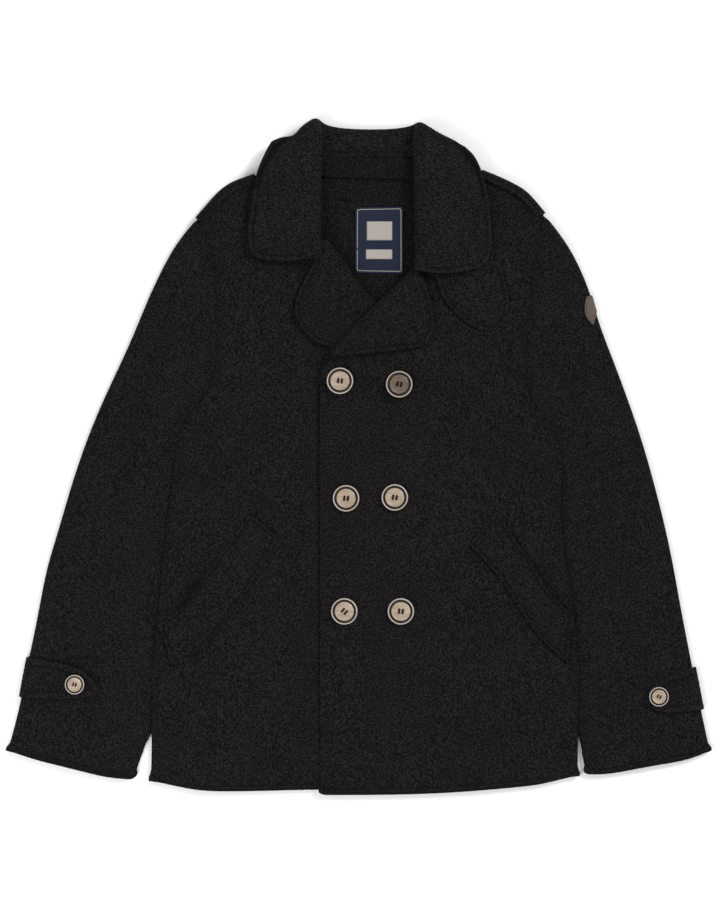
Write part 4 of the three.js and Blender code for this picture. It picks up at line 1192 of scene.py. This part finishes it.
class Nap:
    """Loose wool fibres that stand off the edges and, here and there, off the face of the cloth."""

    SIDES: ClassVar[int] = 3
    STEEP: ClassVar[float] = 0.55

    def __init__(self, seed: int = 5) -> None:
        """Starts without fibres."""
        self.chance = np.random.default_rng(seed)
        self.rings: list[np.ndarray] = []

    def grow(self, piece: bpy.types.Object, edge_spacing: float = 8.0,
             face_spacing: float = 220.0) -> None:
        """Adds fibres to a cloth piece.

        Args:
            piece: The piece.
            edge_spacing: One fibre to this many square millimetres of the piece's steep rims.
            face_spacing: The same for its level faces.
        """
        mesh = piece.data
        points = mesh_points(mesh)
        mesh.calc_loop_triangles()
        corners = np.zeros(len(mesh.loop_triangles) * 3, np.int32)
        mesh.loop_triangles.foreach_get("vertices", corners)
        a, b, c = (points[corners.reshape(-1, 3)[:, k]] for k in range(3))
        cross = np.cross(b - a, c - a)
        area = np.linalg.norm(cross, axis=1) / 2
        normal = cross / np.maximum(2 * area, 1e-9)[:, None]
        level = np.abs(normal[:, 2])
        faces = np.where(normal[:, 2] > 0, face_spacing, np.inf)
        spacing = np.where(level < self.STEEP, edge_spacing, faces)
        count = self.chance.poisson(area / spacing)
        picked = np.repeat(np.arange(len(area)), count)
        share = np.sort(self.chance.random((len(picked), 2)), axis=1)
        weights = np.stack((share[:, 0], share[:, 1] - share[:, 0], 1 - share[:, 1]), 1)[:, :, None]
        root = a[picked] * weights[:, 0] + b[picked] * weights[:, 1] + c[picked] * weights[:, 2]
        self._sprout(root, normal[picked])

    def _sprout(self, root: np.ndarray, normal: np.ndarray) -> None:
        """Adds one curved fibre at each root."""
        lean = self.chance.normal(0.0, 1.0, root.shape)
        steep = (np.abs(normal[:, 2]) < self.STEEP)[:, None]
        way = normal * np.where(steep, 1.0, 0.25) + lean * 0.55
        way /= np.linalg.norm(way, axis=1)[:, None]
        length = self.chance.uniform(0.7, 2.3, (len(root), 1))
        bend = self.chance.normal(0.0, 0.3, root.shape)
        side = np.cross(way, lean)
        side /= np.maximum(np.linalg.norm(side, axis=1), 1e-6)[:, None]
        other = np.cross(way, side)
        for share, girth in ((-0.15, 0.055), (0.5, 0.05), (1.0, 0.02)):
            middle = root + (way * share + bend * share * share) * length
            for k in range(self.SIDES):
                turn = math.tau * k / self.SIDES
                self.rings.append(middle + (side * math.cos(turn) + other * math.sin(turn)) * girth)

    def make(self, name: str, finish: ThreadFinish) -> bpy.types.Object:
        """Makes one object of all the fibres.

        Args:
            name: Name of the object.
            finish: Look of a fibre.

        Returns:
            The object.
        """
        rows = 3 * self.SIDES
        groups = [np.stack(self.rings[i:i + rows], 1) for i in range(0, len(self.rings), rows)]
        verts = np.concatenate(groups).reshape(-1, 3) * MM
        verts[:, 2] = np.maximum(verts[:, 2], 0.05 * MM)
        pattern = [(j * 3 + k, j * 3 + (k + 1) % 3, j * 3 + 3 + (k + 1) % 3, j * 3 + 3 + k)
                   for j in range(2) for k in range(3)]
        first = np.arange(len(verts) // rows)[:, None] * rows
        quads = (first[:, None] + np.array(pattern)[None]).reshape(-1, 4)
        caps = np.concatenate((first + np.array((2, 1, 0)), first + np.array((6, 7, 8))))
        mesh = bpy.data.meshes.new(name)
        mesh.from_pydata(verts.tolist(), [], quads.tolist() + caps.tolist())
        mesh.update()
        return finish_piece(link_object(name, mesh), finish.material())


# Sub-assemblies


RIGHT_HEM = shifted(((-241, -371), (-232, -380), (-216, -384), (-179, -385.5), (-106, -384.5),
                     (-46, -383), (80, -384)))
LEFT_HEM = shifted(((251, -366), (248, -371), (230, -375), (199, -378), (167, -381), (107, -386),
                    (46, -388.5), (-40, -388.5), (-45, -385.5)))
BACK_HEM = shifted(((-241, -370), (-180, -379), (-100, -379), (20, -380), (110, -380), (200, -373),
                    (251, -364)))
RIGHT_CUFF = shifted(((-406, -337), (-379, -347), (-333, -358), (-284, -371), (-267, -373),
                      (-260, -367)))
LEFT_CUFF = shifted(((403, -337), (385, -348), (334, -355), (288, -365), (270, -368), (261, -363)))
RIGHT_LAPEL_ROLL = shifted(((62, 116), (46, 136), (27, 157), (11, 175), (0, 188), (-25, 222),
                            (-44, 247)))
LEFT_LAPEL_ROLL = shifted(((-29, 116), (4, 153), (35, 182), (57, 204), (72, 220)))
COLLAR_SEAM_RIGHT = shifted(((-47, 236), (-47, 300), (-47, 350), (-44, 386)))
COLLAR_SEAM_LEFT = shifted(((65, 222), (65, 300), (64, 350), (64, 384)))


@dataclass
class Body:
    """Fronts, back, lapel facings and the inside of the neck."""

    fronts: tuple[ClothPiece, ...] = (
        ClothPiece("front_right", CHARCOAL, Grain.BODY, (0.34, 0.745), lies_on=("back_panel_cloth",),
                   levels=3, rolled=(RIGHT_HEM,), hem_row=40.0, unstitched=(RIGHT_SEAM.line,), clear=9.0),
        ClothPiece("front_left", CHARCOAL, Grain.BODY, (0.32, 0.745),
                   lies_on=("back_panel_cloth", "front_right_cloth"), levels=3, rolled=(LEFT_HEM,),
                   hem_row=40.0, unstitched=(LEFT_SEAM.line,), clear=9.0),
    )
    back: tuple[ClothPiece, ...] = (
        ClothPiece("back_panel", INSIDE_WOOL, Grain.BODY, (0.5, 0.745), lies_on=("floor",),
                   rolled=(BACK_HEM,)),
        ClothPiece("back_neck_facing", INSIDE_WOOL, Grain.COLLAR, (0.118, 0.03),
                   lies_on=("back_panel_cloth",), levels=3),
    )
    facings: tuple[ClothPiece, ...] = (
        ClothPiece("lapel_facing_right", CHARCOAL, Grain.RIGHT_LAPEL, (0.18, 0.12), Held.FOLDED,
                   ("front_right_cloth",), 3, stitched=5.0, unstitched=(RIGHT_LAPEL_ROLL,), clear=12.0),
        ClothPiece("lapel_facing_left", CHARCOAL, Grain.LEFT_LAPEL, (0.16, 0.1), Held.FOLDED,
                   ("front_left_cloth",), 3, stitched=5.0, unstitched=(LEFT_LAPEL_ROLL,), clear=12.0),
    )

    def build(self) -> None:
        """Builds the pieces and sews the facings."""
        for cloth in (*self.fronts, *self.back, *self.facings):
            cloth.build()
        row = StitchRow()
        for cloth in self.facings:
            row.follow(cloth.piece)
        for cloth in self.fronts:
            row.follow(cloth.piece, "hem_mm")
        row.make("stitching_body", DARK_THREAD)


@dataclass
class Collar:
    """Turned collar of two plies and the throat tab under its left half."""

    plies: tuple[ClothPiece, ...] = (
        ClothPiece("under_collar", COLLAR_WOOL, Grain.COLLAR, (0.68, 0.15), Held.FOLDED,
                   ("front_right_cloth", "front_left_cloth")),
        ClothPiece("top_collar", COLLAR_WOOL, Grain.COLLAR, (0.68, 0.15), Held.FOLDED,
                   ("under_collar_cloth",), 3, stitched=5.5,
                   unstitched=(COLLAR_SEAM_RIGHT, COLLAR_SEAM_LEFT), clear=13.0),
    )
    tab: ClothPiece = field(default_factory=lambda: ClothPiece(
        "throat_tab", CHARCOAL, Grain.COLLAR, (0.1, 0.1), lies_on=("front_left_cloth",), levels=3,
        stitched=4.5))

    def build(self) -> None:
        """Builds the plies and the tab and sews them."""
        for cloth in (*self.plies, self.tab):
            cloth.build()
        row = StitchRow()
        row.follow(self.plies[1].piece)
        row.follow(self.tab.piece)
        row.make("stitching_collar", DARK_THREAD)


@dataclass
class Sleeves:
    """Both sleeves, a top and an under piece each, with their raw cuffs."""

    cut: tuple[float, float] = (0.185, 0.68)
    sides: tuple[tuple[str, Grain, PlanLine], ...] = (
        ("sleeve_right", Grain.RIGHT_SLEEVE, RIGHT_CUFF), ("sleeve_left", Grain.LEFT_SLEEVE, LEFT_CUFF),
    )

    def build(self) -> None:
        """Builds the four pieces, each top piece on its under piece."""
        for name, grain, cuff in self.sides:
            for layer, below, levels in (("top", f"{name}_under_cloth", 3), ("under", "floor", 2)):
                ClothPiece(f"{name}_{layer}", CHARCOAL, grain, self.cut, lies_on=(below,),
                           levels=levels, rolled=(cuff,)).build()


@dataclass
class Trimmings:
    """Pocket welts, shoulder straps and cuff straps, each sewn along its edges."""

    welts: tuple[ClothPiece, ...] = (
        ClothPiece("pocket_welt_right", CHARCOAL, Grain.RIGHT_WELT, (0.05, 0.2),
                   lies_on=("front_right_cloth",), levels=3, stitched=4.0),
        ClothPiece("pocket_welt_left", CHARCOAL, Grain.LEFT_WELT, (0.05, 0.2),
                   lies_on=("front_left_cloth",), levels=3, stitched=4.0),
    )
    straps: tuple[ClothPiece, ...] = (
        ClothPiece("shoulder_strap_right", CHARCOAL, Grain.COLLAR, (0.06, 0.09), Held.FOLDED,
                   ("front_right_cloth",), 3, stitched=5.0,
                   nudges=(Nudge((-118, 318), (8.5, 3.0), 13), Nudge((-184, 268), (-3.0, -3.6), 11))),
        ClothPiece("shoulder_strap_left", CHARCOAL, Grain.COLLAR, (0.06, 0.09), Held.FOLDED,
                   ("front_left_cloth",), 3, stitched=5.0,
                   nudges=(Nudge((140, 323), (-8.0, 2.6), 13), Nudge((211, 273), (2.8, -3.4), 11))),
        ClothPiece("cuff_strap_right", CHARCOAL, Grain.COLLAR, (0.05, 0.12), Held.FOLDED,
                   ("sleeve_right_top_cloth",), 3, stitched=8.0),
        ClothPiece("cuff_strap_left", CHARCOAL, Grain.COLLAR, (0.055, 0.09), Held.FOLDED,
                   ("sleeve_left_top_cloth",), 3, stitched=8.0),
    )

    def build(self) -> None:
        """Builds the trimmings and sews them."""
        row = StitchRow()
        for cloth in (*self.welts, *self.straps):
            cloth.build()
            row.follow(cloth.piece)
        row.make("stitching_trimmings", DARK_THREAD)


@dataclass
class Labels:
    """Woven neck label with two bare patches, and the plain sleeve badge.

    Attributes:
        border: Distance of the label's stitched border from its edge.
        patches: Name, left, right, low and high side of each patch.
        patch_thickness: Thickness of a patch.
        patch_rise: Height of a patch above the label.
        badge_row: Distance of the badge's stitches from its edge.
    """

    border: float = 2.4
    patches: tuple[tuple[str, float, float, float, float], ...] = (
        ("label_patch_wide", 9.3, 38.6, 249.0, 270.5),
        ("label_patch_narrow", 8.3, 38.6, 227.5, 238.5),
    )
    patch_thickness: float = 0.35
    patch_rise: float = 0.15
    badge_row: float = 1.8

    def build(self) -> None:
        """Builds the label, its patches and the badge."""
        label = ClothPiece("neck_label", CHARCOAL, Grain.BODY, (0.056, 0.077),
                           lies_on=("back_panel_cloth",), levels=3, stitched=self.border).build()
        finish_piece(label, NAVY_WEAVE.material())
        border = StitchRow(length=2.1, pitch=1.75, width=0.5, sunk=0.0)
        border.follow(label)
        border.make("label_border", LIGHT_THREAD)
        tree = BVHTree.FromObject(label, bpy.context.evaluated_depsgraph_get())
        for name, left, right, low, high in self.patches:
            self._patch(tree, name, left, right, low, high)
        badge = ClothPiece("sleeve_badge", CHARCOAL, Grain.BODY, (0.03, 0.04), Held.FOLDED,
                           ("sleeve_left_top_cloth",), stitched=self.badge_row).build()
        finish_piece(badge, TAUPE.material())
        edge = StitchRow(length=1.6, pitch=2.2, width=0.3, sunk=0.05)
        edge.follow(badge)
        edge.make("badge_stitching", DARK_THREAD)

    def _patch(self, ground: BVHTree, name: str, left: float, right: float, low: float,
               high: float) -> None:
        """Makes one bare cotton patch that follows the label.

        Args:
            ground: The label's surface.
            name: Name of the patch.
            left: Its left side.
            right: Its right side.
            low: Its lower side.
            high: Its upper side.
        """
        middle = Vector(((left + right) / 2, (low + high) / 2, 20.0)) * MM
        bpy.ops.object.select_all(action="DESELECT")
        bpy.ops.mesh.primitive_grid_add(x_subdivisions=14, y_subdivisions=9, size=1.0, location=middle)
        patch = bpy.context.object
        patch.name = name
        patch.scale = ((right - left) * MM, (high - low) * MM, 1.0)
        bpy.ops.object.transform_apply(location=True, rotation=True, scale=True)
        for vertex in patch.data.vertices:
            hit = ground.ray_cast(vertex.co, Vector((0, 0, -1)))[0]
            if hit is not None:
                vertex.co.z = hit.z + self.patch_rise * MM
        wall = patch.modifiers.new("thickness", "SOLIDIFY")
        wall.thickness = self.patch_thickness * MM
        wall.offset = 1.0
        bpy.ops.object.modifier_apply(modifier=wall.name)
        patch.data.shade_smooth()
        finish_piece(patch, CREAM_WEAVE.material())


@dataclass
class Buttons:
    """Four-hole horn buttons with a rim, a groove and a dished middle, sewn with dark thread.

    Attributes:
        radius: Radius of a front button.
        profile: Radius and height of each ring as shares of the radius and of the thickness.
        thickness: Thickness of a front button.
        hole: Radius of a hole.
        spacing: Distance of each hole from the middle along both axes.
        groove: Inner and outer radius of the groove that is painted with shade, as shares of the radius.
        buttons: Each button's node, turn in degrees and finish.
    """

    radius: float = 15.25
    thickness: float = 4.4
    profile: tuple[tuple[float, float], ...] = (
        (0.9, 0.0), (0.985, 0.12), (1.0, 0.4), (0.995, 0.8), (0.975, 0.96), (0.945, 1.0), (0.9, 0.97),
        (0.885, 0.7), (0.876, 0.2), (0.752, 0.16), (0.736, 0.3), (0.727, 0.7), (0.71, 0.92), (0.675, 0.97),
        (0.62, 0.92), (0.5, 0.8), (0.3, 0.74),
    )
    hole: float = 1.15
    spacing: float = 2.1
    groove: tuple[float, float] = (0.718, 0.892)
    buttons: tuple[tuple[str, float, HornFinish], ...] = (
        ("button_top_right", -4, PALE_HORN), ("button_top_left", -10, BROWN_HORN),
        ("button_middle_right", -3, PALE_HORN), ("button_middle_left", -8, PALE_HORN),
        ("button_bottom_right", -38, PALE_HORN), ("button_bottom_left", -5, PALE_HORN),
        ("cuff_button_right", -14, PALE_HORN), ("cuff_button_left", -20, PALE_HORN),
    )

    def build(self) -> None:
        """Turns one button, threads it, and copies both to each button's place."""
        disc, thread = self._disc(), self._thread()
        for node, turn, finish in self.buttons:
            low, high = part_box(node)
            middle = (low + high) / 2
            scale = (high.x - low.x) / 2 / (self.radius * MM) if node.startswith("cuff") else 1.0
            place = np.array([[middle.x, middle.y, high.z]]) / MM
            rise = float(DRAPE.lift(place)[0]) * MM
            move = Matrix.Translation((middle.x, middle.y, low.z + rise))
            move = move @ Matrix.Rotation(math.radians(turn), 4, "Z") @ Matrix.Scale(scale, 4)
            for source, kind, look in ((disc, "horn", finish), (thread, "thread", BLACK_THREAD)):
                mesh = source.data.copy()
                mesh.transform(move)
                copy = finish_piece(link_object(f"{node}_{kind}", mesh), look.material())
                if source is disc:
                    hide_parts(node)
        for source in (disc, thread):
            bpy.data.objects.remove(source)

    def _disc(self) -> bpy.types.Object:
        """Raises the button ring by ring from a flat round, then drills its holes.

        Returns:
            The button at the origin, its underside at zero.
        """
        bpy.ops.object.select_all(action="DESELECT")
        first = self.profile[0][0] * self.radius * MM
        bpy.ops.mesh.primitive_circle_add(vertices=72, radius=first, fill_type="NGON", location=(0, 0, 0))
        disc = bpy.context.object
        bpy.ops.object.mode_set(mode="EDIT")
        bpy.ops.mesh.select_all(action="SELECT")
        for (inner, low), (outer, high) in zip(self.profile, self.profile[1:]):
            rise = (high - low) * self.thickness * MM
            bpy.ops.mesh.extrude_region_move(TRANSFORM_OT_translate={"value": (0, 0, rise)})
            share = outer / inner
            bpy.ops.transform.resize(value=(share, share, 1.0))
        bpy.ops.mesh.select_all(action="SELECT")
        bpy.ops.mesh.normals_make_consistent(inside=False)
        bpy.ops.object.mode_set(mode="OBJECT")
        for x, y in ((1, 1), (-1, 1), (-1, -1), (1, -1)):
            self._drill(disc, x * self.spacing * MM, y * self.spacing * MM)
        soft = disc.modifiers.new("soft edges", "BEVEL")
        soft.width = 0.12 * MM
        soft.segments = 2
        soft.limit_method = "ANGLE"
        soft.angle_limit = math.radians(50)
        choose(disc)
        bpy.ops.object.modifier_apply(modifier=soft.name)
        bpy.ops.object.shade_smooth_by_angle(angle=math.radians(35))
        points = mesh_points(disc.data)
        reach = np.hypot(points[:, 0], points[:, 1]) / self.radius
        top = points[:, 2] > 0.15 * self.thickness
        # Marks the groove and the insides of the thread holes for painted shade.
        inside = (reach > self.groove[0]) & (reach < self.groove[1]) & top
        drilled = (reach < 0.32) & (points[:, 2] < 0.7 * self.thickness) & (points[:, 2] > 0.01)
        set_attribute(disc.data, "groove", (inside | drilled).astype(float))
        set_attribute(disc.data, "rim", smooth_step(0.88, 0.93, reach))
        return disc

    def _drill(self, disc: bpy.types.Object, x: float, y: float) -> None:
        """Cuts one thread hole through the button.

        Args:
            disc: The button.
            x: Place of the hole across, in metres.
            y: Place of the hole along, in metres.
        """
        bpy.ops.object.select_all(action="DESELECT")
        bpy.ops.mesh.primitive_cylinder_add(vertices=20, radius=self.hole * MM, depth=12 * MM,
                                            location=(x, y, 2 * MM))
        drill = bpy.context.object
        cut = disc.modifiers.new("hole", "BOOLEAN")
        cut.operation = "DIFFERENCE"
        cut.object = drill
        cut.solver = "EXACT"
        choose(disc)
        bpy.ops.object.modifier_apply(modifier=cut.name)
        bpy.data.objects.remove(drill)

    def _thread(self) -> bpy.types.Object:
        """Makes the loops of thread through the two pairs of holes.

        Returns:
            The thread at the origin of the button.
        """
        loops = []
        height = 0.86 * self.thickness * MM
        for x in (-self.spacing, self.spacing):
            for shift in (-0.62, 0.0, 0.62):
                bpy.ops.object.select_all(action="DESELECT")
                bpy.ops.mesh.primitive_torus_add(
                    major_segments=28, minor_segments=8, major_radius=self.spacing * MM,
                    minor_radius=0.42 * MM, location=((x + shift) * MM, 0, height),
                    rotation=(0, math.pi / 2, 0))
                loop = bpy.context.object
                loop.scale = (0.5, 1.0, 1.0)
                loops.append(loop)
        choose(*loops)
        bpy.ops.object.join()
        bpy.ops.object.transform_apply(location=True, rotation=True, scale=True)
        thread = bpy.context.object
        thread.data.shade_smooth()
        return thread


@dataclass
class Studio:
    """Pale floor, soft lights and the camera straight above.

    Attributes:
        mm_per_pixel: Millimetres of the floor to a pixel of the picture.
        picture: Width and height of the picture, in pixels.
        centre: Point of the coat under the picture's middle.
        height: Height of the camera above the floor, in metres.
        focus: Height of the plane at which the picture's scale holds, in metres.
        floor_size: Length of the floor's side, in metres.
        floor_white: Lightness of the floor.
        sky: Strength of the light from all round.
    """

    mm_per_pixel: float = 1.15
    picture: tuple[int, int] = (720, 918)
    centre: tuple[float, float] = (1.5, -2.9)
    height: float = 3.2
    focus: float = 0.012
    floor_size: float = 9.0
    floor_white: float = 0.97
    sky: float = 0.62

    def build(self) -> None:
        """Builds the floor, the lights and the camera."""
        scene = bpy.context.scene
        scene.view_settings.view_transform = "Standard"
        self._floor()
        world = bpy.data.worlds.new("studio")
        world.use_nodes = True
        background = world.node_tree.nodes["Background"]
        background.inputs[0].default_value = grey(1.0)
        background.inputs[1].default_value = self.sky
        scene.world = world
        self._lamp("key", (2.7, 2.1, 3.0), 1.3, 125.0)
        self._lamp("fill", (-1.2, -1.1, 1.5), 1.4, 26.0)
        lens = bpy.data.cameras.new("camera")
        long_side = self.picture[1] * self.mm_per_pixel * MM
        lens.lens = lens.sensor_width * (self.height - self.focus) / long_side
        camera = bpy.data.objects.new("camera", lens)
        camera.location = (self.centre[0] * MM, self.centre[1] * MM, self.height)
        scene.collection.objects.link(camera)
        scene.camera = camera

    def _floor(self) -> None:
        """Builds the floor."""
        bpy.ops.object.select_all(action="DESELECT")
        bpy.ops.mesh.primitive_plane_add(size=self.floor_size, location=(0, 0, -0.2 * MM))
        floor = bpy.context.object
        floor.name = "floor"
        bpy.ops.object.transform_apply(location=True, rotation=True, scale=True)

        def build(make: NodeMaker, shader: bpy.types.Node) -> None:
            """Joins the nodes of the floor."""
            place = make.add("TexCoord")
            shade = make.between(make.noise(place.outputs["Object"], 2.0, 2.0), 0.2, 0.8)
            color = make.mix(shade, grey(self.floor_white), grey(self.floor_white + 0.01))
            make.put(shader.inputs["Base Color"], color)
            shader.inputs["Roughness"].default_value = 0.95
            shader.inputs["Specular IOR Level"].default_value = 0.1

        floor.data.materials.append(Finishes.once("floor_white", build))

    def _lamp(self, name: str, place: tuple[float, float, float], size: float, power: float) -> None:
        """Adds one soft square light that points at the coat.

        Args:
            name: Name of the light.
            place: Where it stands.
            size: Length of its side.
            power: Its power in watts.
        """
        light = bpy.data.lights.new(name, "AREA")
        light.shape = "SQUARE"
        light.size = size
        light.energy = power
        lamp = bpy.data.objects.new(name, light)
        lamp.location = place
        lamp.rotation_euler = (-Vector(place)).to_track_quat("-Z", "Y").to_euler()
        bpy.context.scene.collection.objects.link(lamp)


def main() -> None:
    """Builds the studio and the coat."""
    logging.basicConfig(level=logging.INFO, format="%(message)s")
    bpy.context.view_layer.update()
    for part in (Studio(), Body(), Collar(), Sleeves(), Trimmings(), Labels(), Buttons()):
        LOG.info("building %s", type(part).__name__)
        part.build()
    nap = Nap()
    for piece in [thing for thing in bpy.data.objects if thing.name.endswith(FUZZY)]:
        nap.grow(piece)
    nap.make("loose_fibres", LOOSE_FIBRE)


if __name__ == "__main__":
    main()
